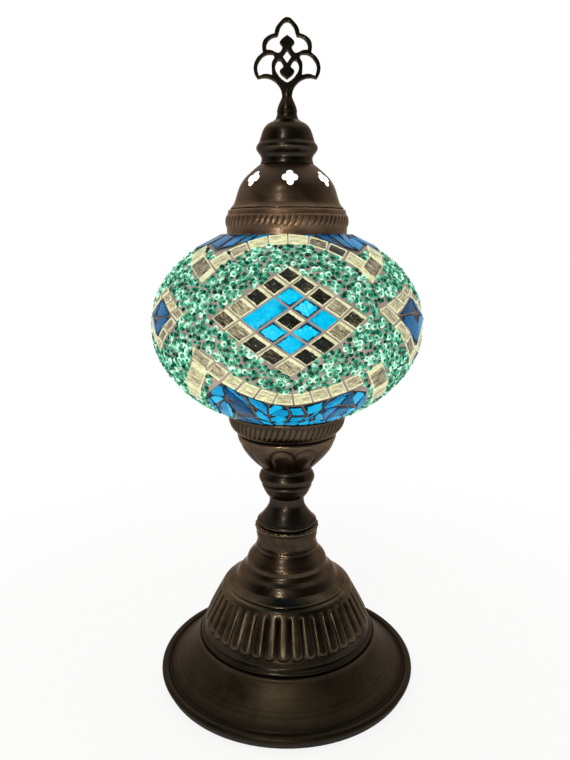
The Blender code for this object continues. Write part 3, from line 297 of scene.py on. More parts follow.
def bronze(name, oxide, brown, brass, wear, dull=0.34, metal=1.0, lines=0.25, lacquer=0.12, painted_shade_heights=(1.0, 2.0)):
    """Antiqued and lacquered sheet brass: dark in its hollows, rubbed on its ridges, with fine turning lines.
    The less metal shows, the more of its patina does. Painted shade darkens it between the two heights, in metres."""
    finish = Finish(name)
    place = finish.place()
    x, y, z = finish.parts(place)
    square = x * x + y * y
    radius = square.math("SQRT", square)
    turning = finish.noise(finish.joined(radius, 0.0, z), 2600.0, 2.0)
    rings = finish.noise(finish.joined(radius, 0.0, z), 560.0, 3.0)
    patina = finish.noise(place, 42.0, 5.0, 0.62, 0.6)
    specks = finish.noise(place, 900.0, 3.0)
    ridge = finish.attribute("ridge")
    rubbed = finish.between(ridge.smaller(0.65) + (patina - 0.5) * 0.5 + (specks - 0.5) * 0.2, 0.05, 0.8)
    hollow = finish.between(finish.attribute("hollow") + (patina - 0.5) * 0.3, 0.2, 0.8)
    colour = finish.mix(finish.between(patina, 0.3, 0.72), oxide, brown)
    colour = finish.mix(finish.between(rings, 0.48, 0.68) * lines, colour, darker(oxide, 0.5))
    colour = finish.mix(rubbed * wear, colour, brass)
    colour = finish.mix(hollow * 0.7, colour, darker(oxide, 0.35))
    # painted shade: darker between the two heights, standing in for shadow and dark reflections there
    colour = finish.mix(finish.between(z, *painted_shade_heights) * 0.75, colour, darker(oxide, 0.4))
    roughness = dull + (patina - 0.5) * 0.2 + (turning - 0.5) * 0.12 - rubbed * 0.05
    normal = finish.bump(turning * lines + specks * 0.06, 0.3, 0.0004)
    coat = dict(Coat_Weight=lacquer, Coat_Roughness=0.13, Coat_IOR=1.45, Coat_Tint=(1.0, 0.90, 0.76))
    edge = dict(Specular_Tint=(0.50, 0.41, 0.32), Specular_IOR_Level=0.25)
    return finish.done(Base_Color=colour, Roughness=roughness, Normal=normal, Metallic=metal, **coat, **edge)


def plain_metal(name, dark, light, roughness, glow=0.0):
    """Turned brass or plated steel for the inner fittings. Those beside the bulb also have a painted glow for its
    light.
    """
    finish = Finish(name)
    place = finish.place()
    clouds = finish.noise(place, 120.0, 4.0)
    scratches = finish.noise(place, 2200.0, 2.0)
    colour = finish.mix(finish.between(clouds, 0.3, 0.7), dark, light)
    dull = roughness + (clouds - 0.5) * 0.2 + (scratches - 0.5) * 0.1
    lamplight = {"Emission_Color": (1.0, 0.96, 0.88), "Emission_Strength": glow}
    return finish.done(Base_Color=colour, Roughness=dull, Metallic=1.0, **lamplight)


def matt(name, dark, light, roughness, grain):
    """Felt, rubber or moulded resin."""
    finish = Finish(name)
    place = finish.place()
    fibres = finish.noise(place, grain, 4.0, 0.7)
    colour = finish.mix(finish.between(fibres, 0.3, 0.7), dark, light)
    normal = finish.bump(fibres, 0.5, 0.0005)
    return finish.done(Base_Color=colour, Roughness=roughness + (fibres - 0.5) * 0.15, Normal=normal)


def blown_glass():
    finish = Finish("blown_glass")
    seeds = finish.noise(finish.place(), 300.0, 2.0)
    settings = {"Base_Color": (0.90, 0.95, 0.93), "Transmission_Weight": 1.0, "IOR": 1.47}
    return finish.done(Roughness=0.06 + seeds * 0.06, **settings)


def lit_opal():
    """The bulb's opal glass, alight."""
    finish = Finish("lit_opal")
    clouds = finish.noise(finish.place(), 60.0, 2.0)
    glow = finish.mix(clouds, (1.0, 0.86, 0.66), (1.0, 0.93, 0.80))
    settings = {"Base_Color": (0.92, 0.90, 0.84), "Roughness": 0.25, "Emission_Strength": 1.4}
    return finish.done(Emission_Color=glow, **settings)


def lit_lining():
    """The inside of the pierced dome, painted glowing for the bulb's light."""
    finish = Finish("lit_lining")
    clouds = finish.noise(finish.place(), 80.0, 3.0)
    glow = finish.mix(clouds, (1.0, 0.96, 0.90), (1.0, 1.0, 0.98))
    settings = {"Base_Color": (0.8, 0.76, 0.68), "Roughness": 0.6, "Emission_Strength": 1.1}
    return finish.done(Emission_Color=glow, **settings)


def lit(finish, colour, share, **sockets):
    """Ends a finish of the lit mosaic: its colour is a painted glow for the lamp's light from inside, and it takes
    the room's light.
    """
    dim = finish.mix(1.0, colour, (share, share, share), "MULTIPLY")
    glow = {"Emission_Strength": 0.92, "Specular_IOR_Level": 0.07}
    return finish.done(Base_Color=dim, Emission_Color=colour, **glow, **sockets)


def grout():
    finish = Finish("grout")
    place = finish.place()
    clouds = finish.noise(place, 90.0, 4.0)
    grains = finish.noise(place, 1400.0, 3.0)
    tone = finish.between(clouds * 0.6 + grains * 0.4, 0.3, 0.7)
    colour = finish.mix(tone, (0.200, 0.160, 0.138), (0.370, 0.305, 0.265))
    normal = finish.bump(grains, 0.6, 0.0004)
    return lit(finish, colour, 0.45, Roughness=0.85, Normal=normal)


def tile_place(finish):
    """Where a point lies on its tile: along it and across it, from 0 to 1."""
    u, v, _ = finish.parts(finish.node("ShaderNodeUVMap", {"uv_map": "tile"}, {}, "UV"))
    return u, v


def tile_edge(finish, width, lean, rough):
    """1 on a tile's edge and 0 in its middle, with a ragged border that is wider by the lean on one side, the side
    of the painted light or shadow.
    """
    u, v = tile_place(finish)
    reach = abs(u - 0.5).larger((v - (0.5 - lean)).larger(0.5 - v))
    ragged = finish.noise(finish.place(), 420.0, 3.0)
    return finish.between(reach + (ragged - 0.5) * rough, 0.5 - width, 0.5 - width * 0.4)


def mirror_tile():
    """Clear glass with a silvered, greenish-yellow edge, widened on one side as a painted highlight, and a
    streaked middle, from black to tan, with painted glints.
    """
    finish = Finish("mirror_tile")
    place = finish.place()
    tone = finish.attribute("tone")
    chance = finish.attribute("chance")
    u, v = tile_place(finish)
    # painted highlight: the lean widens the pale edge on one side, where light catches the bevel
    edge = tile_edge(finish, 0.07, 0.14, 0.13)
    streaks = finish.noise(finish.joined(u * 1.2 + chance * 40.0, v * 6.0, chance * 9.0), 1.7, 4.0, 0.65)
    flecks = finish.noise(place, 560.0, 5.0, 0.75, 1.2)
    level = tone + (streaks - 0.5) * 1.3 + (flecks - 0.5) * 0.5
    stops = [(0.0, (0.006, 0.007, 0.006)), (0.3, (0.022, 0.022, 0.016)), (0.46, (0.150, 0.125, 0.080))]
    stops += [(0.62, (0.330, 0.285, 0.195)), (0.84, (0.600, 0.590, 0.340)), (1.0, (0.830, 0.850, 0.520))]
    middle = finish.ramp(level, stops)
    silver = finish.mix(finish.between(flecks, 0.35, 0.65), (0.560, 0.570, 0.270), (0.950, 0.960, 0.660))
    colour = finish.mix(edge * (0.6 + streaks * 0.6), middle, silver)
    # painted glints on the pale flecks
    colour = finish.mix(finish.between(flecks, 0.6, 0.72) * 0.6, colour, (0.80, 0.80, 0.62))
    normal = finish.bump(flecks * 0.5 + streaks, 0.3, 0.0006)
    return lit(finish, colour, 0.35, Roughness=0.22 + flecks * 0.14, Normal=normal)


def coloured_tile(name, deep, bright, pale, edge_and_shadow_colour, spread=0.45):
    """Hammered stained glass, brighter where it is thin, with a ragged line along part of its edge: a painted
    shadow on the turquoise tiles and a joint line on the shards. The spread is how much its pieces differ."""
    finish = Finish(name)
    place = finish.place()
    chance = finish.attribute("chance")
    edge = tile_edge(finish, 0.13, 0.05, 0.3)
    clouds = finish.noise(place, 130.0, 4.0, 0.6)
    flecks = finish.noise(place, 700.0, 4.0, 0.75)
    level = clouds * 0.5 + (chance - 0.5) * spread + 0.22 + (flecks - 0.5) * 1.3
    colour = finish.ramp(level, [(0.1, deep), (0.5, bright), (0.95, pale)])
    # the part of the edge that gets the line, on the turquoise tiles a painted shadow
    side = finish.between(finish.noise(place, 75.0, 2.0) + chance * 0.3, 0.4, 0.66)
    colour = finish.mix(edge * side, colour, edge_and_shadow_colour)
    normal = finish.bump(flecks, 0.2, 0.0004)
    return lit(finish, colour, 0.4, Roughness=0.24 + clouds * 0.14, Normal=normal)


def seed_bead():
    """Small glass beads from dark teal to mint, with one side in painted shade, a painted highlight on the rim
    round the bore and painted shade inside it.
    """
    finish = Finish("seed_bead")
    place = finish.place()
    swirl = finish.noise(place, 700.0, 2.0)
    level = finish.attribute("tint") + finish.attribute("shade") + (swirl - 0.5) * 0.6
    stops = [(0.0, (0.001, 0.018, 0.012)), (0.25, (0.004, 0.085, 0.050)), (0.5, (0.030, 0.260, 0.150))]
    stops += [(0.75, (0.190, 0.580, 0.390)), (1.0, (0.620, 0.930, 0.740))]
    colour = finish.ramp(level, stops)
    return lit(finish, colour, 0.5, Roughness=0.16 + swirl * 0.1)


def smooth_run(stations, steps=6):
    """A smooth curve through stations of radius and height."""
    knots = [Vector(station) for station in stations]
    ends = [2 * knots[0] - knots[1], *knots, 2 * knots[-1] - knots[-2]]
    curve = [knots[0]]
    for before, start, end, after in zip(ends, ends[1:], ends[2:], ends[3:]):
        leave = start + (end - before) / 6
        arrive = end - (after - start) / 6
        curve += interpolate_bezier(start, leave, arrive, end, steps + 1)[1:]
    return [point.to_2d() for point in curve]


def turned(points, sides, closed=True):
    """A bmesh of an outline in millimetres turned about the lamp's axis."""
    bm = bmesh.new()
    verts = [bm.verts.new((point.x * MM, 0, point.y * MM)) for point in points]
    first = 0 if closed else 1
    edges = []
    for index in range(first, len(points)):
        if points[index - 1].x or points[index].x:
            edges.append(bm.edges.new((verts[index - 1], verts[index])))
    turn = dict(cent=(0, 0, 0), axis=(0, 0, 1), angle=math.tau, steps=sides, use_merge=True)
    bmesh.ops.spin(bm, geom=verts + edges, **turn)
    bmesh.ops.remove_doubles(bm, verts=bm.verts, dist=0.001 * MM)
    bmesh.ops.recalc_face_normals(bm, faces=bm.faces)
    return bm


def face_out(bm):
    """Turns an open sheet's faces away from the lamp's axis."""
    out = 0.0
    for face in bm.faces:
        out += face.normal.dot(face.calc_center_median() * Vector((1, 1, 0))) * face.calc_area()
    if out < 0:
        bmesh.ops.reverse_faces(bm, faces=bm.faces)


def pressed(bm, thickness=SHEET):
    """Gives an open sheet its thickness, on the inside."""
    face_out(bm)
    bmesh.ops.solidify(bm, geom=bm.faces, thickness=thickness * MM)
    bmesh.ops.recalc_face_normals(bm, faces=bm.faces)


def rounded(bm, edges, width):
    rounding = dict(affect="EDGES", segments=2, profile=0.5, material=-1, clamp_overlap=True)
    bmesh.ops.bevel(bm, geom=edges, offset=width * MM, offset_type="OFFSET", **rounding)


def soften(bm, width):
    """Rounds the sharp edges."""
    inner = [edge for edge in bm.edges if len(edge.link_faces) == 2]
    rounded(bm, [edge for edge in inner if edge.calc_face_angle() > math.radians(32)], width)


def mark_wear(bm):
    """Stores how much each vertex stands on a ridge or lies in a hollow, from the bend of the edges there."""
    ridge = bm.verts.layers.float.new("ridge")
    hollow = bm.verts.layers.float.new("hollow")
    bm.verts.index_update()
    bm.faces.index_update()
    areas = [face.calc_area() for face in bm.faces]
    bends = [0.0] * len(bm.verts)
    for edge in bm.edges:
        if len(edge.link_faces) == 2:
            width = sum(areas[face.index] for face in edge.link_faces) / max(edge.calc_length(), 1e-7) / 2
            bend = edge.calc_face_angle_signed() / max(width, 0.1 * MM)
            for vert in edge.verts:
                bends[vert.index] += bend * MM / len(vert.link_edges)
    for _ in range(3):
        spread = []
        for vert in bm.verts:
            near = [bends[edge.other_vert(vert).index] for edge in vert.link_edges]
            spread.append((bends[vert.index] + sum(near)) / (1 + len(near)))
        bends = spread
    for vert in bm.verts:
        bend = bends[vert.index]
        vert[ridge] = min(max(bend / 0.35, 0.0), 1.0)
        vert[hollow] = min(max(-bend / 0.35, 0.0), 1.0)


def piece(name, bm, finishes, body, nodes=()):
    """An object from a bmesh, which rides on a body and stands for the given nodes."""
    mesh = bpy.data.meshes.new(name)
    bm.to_mesh(mesh)
    bm.free()
    for finish in finishes:
        mesh.materials.append(finish)
    mesh.shade_smooth()
    mesh.set_sharp_from_angle(angle=math.radians(42))
    made = bpy.data.objects.new(name, mesh)
    bpy.context.scene.collection.objects.link(made)
    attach(made, body)
    if nodes:
        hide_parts(*nodes)
    return made


def metal_piece(name, bm, finish, body, node, edge=0.3):
    soften(bm, edge)
    mark_wear(bm)
    return piece(name, bm, [finish], body, [node])


def applied(target, cutter, operation):
    """Joins a helper to a piece by a Boolean and puts the result in the piece's mesh."""
    modifier = target.modifiers.new("joined", "BOOLEAN")
    modifier.operation = operation
    modifier.solver = "MANIFOLD"
    modifier.object = cutter
    graph = bpy.context.evaluated_depsgraph_get()
    mesh = bpy.data.meshes.new_from_object(target.evaluated_get(graph))
    target.modifiers.clear()
    target.data = mesh
    bpy.data.objects.remove(cutter)


def helper(bm, name="helper"):
    """An object from a bmesh that isn't a piece of the lamp."""
    mesh = bpy.data.meshes.new(name)
    bm.to_mesh(mesh)
    bm.free()
    made = bpy.data.objects.new(name, mesh)
    bpy.context.scene.collection.objects.link(made)
    return made


def polar(vert):
    """Azimuth in radians, radius and height in millimetres of a vertex."""
    return math.atan2(vert.co.x, -vert.co.y), math.hypot(vert.co.x, vert.co.y) / MM, vert.co.z / MM


def push(vert, depth):
    """Moves a vertex away from the axis, in millimetres."""
    reach = math.hypot(vert.co.x, vert.co.y)
    scale = (reach + depth * MM) / reach
    vert.co.x *= scale
    vert.co.y *= scale


def ease(share):
    share = min(max(share, 0.0), 1.0)
    return share * share * (3 - 2 * share)


def emboss(bm, relief):
    """Moves each vertex out by the relief at its azimuth, radius and height."""
    for vert in bm.verts:
        push(vert, relief(*polar(vert)))


def embossed(points, sides, relief):
    """A turned sheet with a relief pressed into it."""
    bm = turned(points, sides, closed=False)
    emboss(bm, relief)
    pressed(bm, THIN_SHEET)
    return bm


def base_dish(finish):
    """The spun dish: a bead round the dome's foot, a hollow flare and a rolled rim with a groove inside it."""
    base = 2.5
    rim_radius = 2.75
    flare = []
    steps = 60
    for step in range(steps + 1):
        share = step / steps
        hollow = 2.2 * 4 * share * (1 - share)
        groove = 0.9 * ease((share - 0.9) / 0.09)
        height = base + 23.6 - 19.75 * share - 0.72 * hollow - groove
        flare.append(Vector((60.9 + 20.5 * share - 0.69 * hollow, height)))
    rim = []
    for step in range(16):
        turn = math.radians(6 + 14 * step)
        height = base + rim_radius + rim_radius * math.sin(turn)
        rim.append(Vector((83.25 - rim_radius * math.cos(turn), height)))
    top = line((44.5, base + 25.2), (58.8, base + 25.2))
    top += smooth_run([(59.2, base + 25.5), (59.8, base + 25.7), (60.5, base + 25.3), (60.8, base + 24.6)], 3)
    bm = turned(top + flare + rim, 160, closed=False)
    pressed(bm)
    made = metal_piece("dish", bm, finish, "stand", "base_dish", 0.25)
    low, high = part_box("cord_grommet")
    middle = (low + high) / 2
    drill = bmesh.new()
    lean = Matrix.Translation(middle) @ Matrix.Rotation(math.radians(CORD_HOLE_TILT), 4, "X")
    radius = CORD_HOLE_RADIUS * MM
    bmesh.ops.create_cone(drill, cap_ends=True, segments=24, radius1=radius, radius2=radius, depth=9 * MM,
                          matrix=lean)
    applied(made, helper(drill), "DIFFERENCE")


def flute_relief(around, radius, height):
    """Relief of the dome's channels. They have round tops, and the tongues between them have round feet."""
    pitch = math.tau * radius / FLUTES
    turns = (around - math.radians(FLUTE_TURN)) * FLUTES / math.tau
    half = pitch / 2
    channel = math.hypot(((turns + 0.5) % 1 - 0.5) * pitch, max(height - CHANNEL_TOP + half, 0.0))
    tongue = math.hypot((turns % 1 - 0.5) * pitch, max(TONGUE_FOOT + half - height, 0.0))
    upper = max(1 - channel / half, 0.0)
    lower = min(tongue / half, 1.0)
    share = ease((height - FLUTE_CHANGE) / 8)
    depth = FLUTE_DEPTH * (upper * share + lower * (1 - share)) ** 4 * ease((height - FLUTE_FOOT) / 2.0)
    return -depth


def fluted_dome(finish):
    side = smooth_run([(38.6, 64.0), (41.2, 63.6), (43.3, 61.9), (46.6, 56.0), (51.8, 46.2), (56.1, 37.2),
                       (57.2, 34.4)], 9)
    foot = smooth_run([(57.6, 33.0), (58.2, 31.0), (58.5, 29.8), (58.2, 28.6), (57.0, 28.0)], 3)
    outline = line((36.0, 64.0)) + side + foot + line((53.5, 28.0))
    bm = embossed(outline, 12 * FLUTES, flute_relief)
    metal_piece("flutes", bm, finish, "stand", "fluted_dome", 0.2)


def stepped_shoulder(finish):
    outer = line((20.4, 90.5)) + smooth_run([(20.6, 90.0), (21.5, 87.7), (25.3, 83.2), (26.5, 80.8)])
    outer += smooth_run([(26.7, 80.2), (27.0, 78.6), (27.3, 77.1), (28.9, 74.9), (31.7, 72.6), (33.4, 69.8)])
    outer += smooth_run([(33.7, 69.3), (34.6, 68.0), (37.4, 66.2), (39.6, 65.0), (40.3, 64.3)])
    inner = line((36.8, 64.3), (31.0, 68.2), (24.2, 76.1), (18.1, 86.9), (TUBE_BORE, 86.9), (TUBE_BORE, 90.5))
    metal_piece("shoulder", turned(outer + inner, 112), finish, "stand", "stepped_shoulder")


def crimp_relief(around, radius, height):
    """Relief of the crimps round the drum's rim."""
    if height > CRIMP_FOOT and radius > 18.5:
        return 0.22 * math.cos(CRIMPS * around) * ease((height - CRIMP_FOOT) / 1.2)
    return 0.0


def stem_drum(finish):
    """A waisted drum with a crimped rim."""
    outer = line((17.0, 105.5)) + smooth_run([(19.6, 105.4), (20.7, 104.9), (21.1, 103.6), (20.7, 102.4)])
    outer += smooth_run([(20.5, 102.0), (20.3, 98.5), (19.7, 94.6), (20.0, 92.2), (20.5, 90.8)])
    bm = turned(outer + line((TUBE_BORE, 90.8), (TUBE_BORE, 105.5)), 120)
    emboss(bm, crimp_relief)
    metal_piece("drum", bm, finish, "stand", "stem_drum")


def stem_trumpet(finish):
    outer = line((11.9, 124.2))
    outer += smooth_run([(11.6, 123.6), (11.4, 121.6), (12.1, 117.9), (14.6, 113.6), (18.0, 109.4)])
    outer += smooth_run([(18.6, 108.8), (19.7, 107.8), (19.9, 106.8), (19.6, 105.8)], 4)
    inner = line((TUBE_BORE, 105.8), (TUBE_BORE, 124.2))
    metal_piece("trumpet", turned(outer + inner, 96), finish, "stand", "stem_trumpet")


def stem_knop(finish):
    outer = line((16.2, 143.5))
    outer += smooth_run([(16.2, 142.4), (17.4, 140.8), (18.3, 138.0), (17.6, 135.4), (16.3, 133.9)])
    outer += smooth_run([(16.3, 133.5), (16.5, 132.4), (15.9, 130.9), (14.4, 127.6), (12.7, 125.2), (12.3, 124.5)])
    inner = line((TUBE_BORE, 124.5), (TUBE_BORE, 143.5))
    metal_piece("knop", turned(outer + inner, 96), finish, "stand", "stem_knop")


def petal_relief(around, radius, height):
    """Relief of the cup's oval petals, each in a groove, outside its floor."""
    if radius <= 15.9:
        return 0.0
    pitch = math.tau * radius / PETALS
    turn = around - math.radians(PETAL_TURN)
    across = ((turn * PETALS / math.tau + 0.5) % 1 - 0.5) * pitch
    half = 0.49 * pitch
    reach = math.hypot(across / half, (height - PETAL_MIDDLE) / PETAL_REACH)
    outside = (reach - 1) * min(half, 7.0)
    groove = 0.6 * math.exp(-((outside / 0.9) ** 2))
    swell = 0.35 * max(1 - reach * reach, 0.0)
    return (swell - groove) * ease((height - 145.4) / 3)


def petal_cup(finish):
    floor = line((TUBE_BORE, 143.8), (15.8, 143.8))
    outer = smooth_run([(16.6, 144.0), (17.2, 145.2), (19.4, 147.3), (23.2, 151.3), (26.6, 155.4), (29.3, 159.5),
                        (31.4, 163.8), (32.0, 165.8)], 7)
    rim = smooth_run([(32.1, 166.4), (31.9, 167.4), (31.0, 168.0), (29.6, 168.0)], 3)
    bm = embossed(floor + outer + rim, 16 * PETALS, petal_relief)
    metal_piece("cup", bm, finish, "stand", "petal_cup", 0.2)


def gadrooned(points, low, high):
    """A turned sheet with a slanted rope of gadroons between two heights."""
    def gadroon(around, radius, height):
        if radius <= 30:
            return 0.0
        phase = GADROONS * around / math.tau + GADROON_SLANT * (height - low) / (high - low)
        lobe = abs(math.sin(math.pi * phase)) ** 0.7
        return GADROON_DEPTH * (lobe - 1) * ease((height - low) / 1.4) * ease((high - height) / 1.4)

    return embossed(points, 8 * GADROONS, gadroon)


def lower_gallery(finish):
    floor = line((TUBE_BORE, 168.4), (30.4, 168.4))
    side = smooth_run([(31.6, 168.6), (33.3, 169.7)], 3)
    side += smooth_run([(33.6, 170.4), (35.4, 172.2), (36.7, 174.4), (37.5, 177.2), (37.7, 180.4)], 6)
    lip = smooth_run([(37.9, 181.0), (38.0, 181.8), (37.4, 182.7), (36.2, 183.0)], 3) + line((33.8, 183.0))
    bm = gadrooned(floor + side + lip, 170.8, 180.2)
    metal_piece("gallery", bm, finish, "stand", "lower_gallery", 0.15)


def cap_collar(finish):
    flange = line((23.8, 308.3), (34.9, 308.3))
    slope = smooth_run([(35.4, 308.1), (35.9, 307.2), (36.0, 306.0)], 3)
    rope = smooth_run([(36.4, 305.2), (37.1, 304.2), (37.6, 302.0), (37.5, 299.6), (37.0, 298.2)], 5)
    lip = smooth_run([(36.8, 297.6), (36.7, 296.0), (36.7, 292.4)], 3)
    bm = gadrooned(flange + slope + rope + lip, 298.0, 304.8)
    metal_piece("collar", bm, finish, "cap", "cap_collar", 0.15)


def window_helper():
    """Four-lobed prisms, square to the dome's side."""
    bm = bmesh.new()
    lobe_place = 2.6
    lobe_radius = 1.95
    outside = Vector((0, 8 * MM, 0))
    through = Vector((0, 13 * MM, 0))
    corners = []
    for step in range(48):
        around = math.tau * step / 48
        lean = (around + math.pi / 4) % (math.pi / 2) - math.pi / 4
        chord = math.sqrt(lobe_radius**2 - (lobe_place * math.sin(lean)) ** 2)
        reach = lobe_place * math.cos(lean) + chord
        corners.append(Vector((reach * math.cos(around), 0, 1.18 * reach * math.sin(around))) * MM)
    tilt = Matrix.Rotation(math.radians(-WINDOW_TILT), 4, "X")
    spot = Matrix.Translation((0, -WINDOW_RADIUS * MM, WINDOW_HEIGHT * MM))
    for window in range(WINDOWS):
        turn = Matrix.Rotation(math.radians(WINDOW_TURN) + math.tau * window / WINDOWS, 4, "Z")
        place = turn @ spot @ tilt
        face = bm.faces.new([bm.verts.new(place @ (corner - outside)) for corner in corners])
        grown = bmesh.ops.extrude_face_region(bm, geom=[face])["geom"]
        moved = [item for item in grown if isinstance(item, bmesh.types.BMVert)]
        bmesh.ops.translate(bm, verts=moved, vec=place.to_3x3() @ through)
    # the cut faces of the windows take the lining's painted glow
    for face in bm.faces:
        face.material_index = 1
    bmesh.ops.recalc_face_normals(bm, faces=bm.faces)
    return helper(bm)


def cap_dome(finish, lining):
    """The pierced dome, with a second finish on its inside and in its windows: a painted glow for the bulb's
    light.
    """
    wall = smooth_run([(15.2, 335.0), (17.6, 333.6), (21.8, 330.1), (25.4, 326.7), (28.0, 323.0), (29.6, 319.5),
                       (30.7, 316.0), (31.8, 312.8), (32.7, 311.0), (34.5, 309.0)], 5)
    inside = smooth_run([(31.0, 310.2), (30.2, 312.8), (29.3, 316.0), (28.2, 319.3), (26.6, 322.4), (24.2, 325.6),
                         (20.6, 328.8), (16.6, 332.2), (14.6, 333.7)], 4)
    outer = line((STUD_BORE, 335.0)) + wall
    inner = line((34.4, 308.7), (23.8, 308.7), (23.8, 309.9)) + inside + line((STUD_BORE, 333.8))
    bm = turned(outer + inner, 20 * WINDOWS)
    soften(bm, 0.2)
    mark_wear(bm)
    for face in bm.faces:
        middle = face.calc_center_median()
        towards = face.normal.dot(Vector((middle.x, middle.y, 0)))
        # the inside takes the lining's painted glow
        if middle.z > LINING_FOOT * MM and (towards < 0 or face.normal.z < -0.7):
            face.material_index = 1
    made = piece("pierced_dome", bm, [finish, lining], "cap", ["cap_dome"])
    applied(made, window_helper(), "DIFFERENCE")


def cap_bell(finish):
    outer = line((STUD_BORE, 360.3), (6.9, 360.3))
    outer += smooth_run([(7.4, 360.0), (8.6, 359.1), (11.6, 357.5), (13.4, 355.7), (14.6, 353.6), (15.7, 350.5),
                         (16.6, 347.6)], 5)
    outer += smooth_run([(16.9, 347.0), (18.1, 345.4), (18.5, 343.8), (17.9, 342.2), (16.3, 340.2)], 5)
    outer += smooth_run([(15.9, 339.6), (15.4, 338.2), (15.5, 336.8), (16.2, 334.6)], 5)
    inner = line((14.2, 334.9), (14.2, 348.0), (11.6, 354.0), (6.7, 356.9), (STUD_BORE, 359.0))
    metal_piece("bell", turned(outer + inner, 96), finish, "cap", "cap_bell")


def crest_loop(curve, corners):
    """A closed loop through points of x, height and bend: 1 at a smooth point, 0 at a corner."""
    spline = curve.splines.new("BEZIER")
    spline.use_cyclic_u = True
    spline.bezier_points.add(len(corners) - 1)
    for point, (x, height, bend) in zip(spline.bezier_points, corners):
        point.co = (x * MM, height * MM, 0)
        kind = "AUTO" if bend else "VECTOR"
        point.handle_left_type = kind
        point.handle_right_type = kind


def flipped(corners):
    """Points to the left of the axis for points to its right, in the opposite order."""
    return [(-x, height, bend) for x, height, bend in reversed(corners)]


def mirrored(half):
    """A loop from its right half, given from the top down."""
    return half + flipped([corner for corner in half if corner[0] > 0])


def crest():
    """The openwork of the finial: five lobes round two spades, a diamond and a heart."""
    curve = bpy.data.curves.new("crest", "CURVE")
    curve.dimensions = "2D"
    curve.fill_mode = "BOTH"
    curve.resolution_u = 6
    edge_round = 0.5 * MM
    curve.bevel_depth = edge_round
    curve.bevel_resolution = 2
    curve.offset = -edge_round
    curve.extrude = CREST_THICKNESS / 2 * MM - edge_round
    edge = [(0, 42.4, 1), (4.6, 39.4, 1), (6.8, 36.2, 1), (7.3, 33.9, 0), (10.9, 32.5, 1)]
    edge += [(13.7, 30.0, 1), (14.5, 26.6, 1), (14.1, 23.6, 0), (17.6, 20.5, 1), (19.5, 15.9, 1)]
    edge += [(19.0, 11.8, 1), (17.3, 9.0, 0), (13.1, 9.6, 1), (8.8, 8.5, 1), (5.3, 5.7, 1)]
    edge += [(3.4, 2.4, 1), (3.0, 0, 0)]
    arches = [(0, 39.9, 1), (3.5, 37.3, 1), (4.8, 34.0, 1), (5.5, 32.0, 0), (8.3, 31.4, 1)]
    arches += [(10.8, 29.6, 1), (12.1, 26.4, 1), (11.9, 25.0, 0), (8.9, 24.7, 1), (6.7, 23.7, 1)]
    arches += [(4.8, 23.4, 1), (3.0, 25.4, 1), (2.9, 26.8, 1), (4.3, 28.6, 1), (3.9, 29.8, 1), (0, 33.0, 0)]
    diamond = [(0, 24.4, 0), (2.5, 21.2, 0), (0, 17.9, 0)]
    heart = [(4.7, 19.0, 1), (6.5, 17.2, 1), (6.9, 15.0, 1), (5.6, 11.8, 1), (1.2, 7.7, 1), (0, 7.3, 1)]
    spade = [(0, 8.8, 0), (4.3, 13.1, 1), (3.9, 14.2, 1), (2.3, 15.7, 1), (2.8, 17.4, 1)]
    lobe = [(10.4, 22.4, 1), (7.6, 21.6, 1), (8.9, 17.9, 1), (9.0, 14.8, 1), (8.8, 11.4, 0)]
    lobe += [(12.9, 11.9, 1), (16.4, 10.8, 0), (17.2, 13.4, 1), (17.3, 16.0, 1), (15.4, 19.6, 1)]
    lobe += [(13.2, 21.6, 1)]
    for loop in (edge, arches, diamond):
        crest_loop(curve, mirrored(loop))
    crest_loop(curve, heart + flipped(heart[:-1]) + flipped(spade[1:]) + spade)
    crest_loop(curve, lobe)
    crest_loop(curve, flipped(lobe))
    guide = bpy.data.objects.new("crest", curve)
    bpy.context.scene.collection.objects.link(guide)
    graph = bpy.context.evaluated_depsgraph_get()
    bm = bmesh.new()
    bm.from_mesh(bpy.data.meshes.new_from_object(guide.evaluated_get(graph)))
    bpy.data.objects.remove(guide)
    bmesh.ops.remove_doubles(bm, verts=bm.verts, dist=0.001 * MM)
    foot = Matrix.Translation((0, 0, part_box("finial")[0].z + CREST_FOOT * MM))
    bm.transform(foot @ Matrix.Rotation(math.pi / 2, 4, "X"))
    bmesh.ops.recalc_face_normals(bm, faces=bm.faces)
    return bm


def finial(finish):
    """One casting: a turned ferrule whose stem runs up into the crest."""
    outer = line((0, 378.4))
    outer += smooth_run([(1.6, 377.4), (2.7, 374.6), (3.2, 372.4), (4.2, 370.2), (5.4, 367.4), (5.9, 365.6)], 5)
    outer += smooth_run([(6.0, 364.9), (5.9, 363.4), (6.3, 361.8), (6.8, 360.7)], 4)
    inner = line((STUD_BORE, 360.7), (STUD_BORE, 367.9), (0, 367.9))
    made = metal_piece("finial_casting", turned(outer + inner, 48), finish, "cap", "finial", 0.2)
    openwork = crest()
    mark_wear(openwork)
    applied(made, helper(openwork), "UNION")


def arc(half_axes, low, high, steps):
    """Points in millimetres of a globe's outline between two latitudes."""
    across, up = half_axes
    points = []
    for step in range(steps + 1):
        latitude = math.radians(low + (high - low) * step / steps)
        points.append(Vector((across * math.cos(latitude), GLOBE_MIDDLE + up * math.sin(latitude))))
    return points


def glass_globe(finish):
    limit = math.degrees(math.acos(MOUTH_RADIUS / GLASS_SHELL[0]))
    inside = (GLASS_SHELL[0] - GLASS_WALL, GLASS_SHELL[1] - GLASS_WALL)
    inner_limit = math.degrees(math.asin(GLASS_SHELL[1] * math.sin(math.radians(limit)) / inside[1]))
    outline = arc(GLASS_SHELL, limit, -limit, 40) + arc(inside, -inner_limit, inner_limit, 40)
    piece("globe_glass", turned(outline, 96), [finish], "stand", ["glass_globe"])


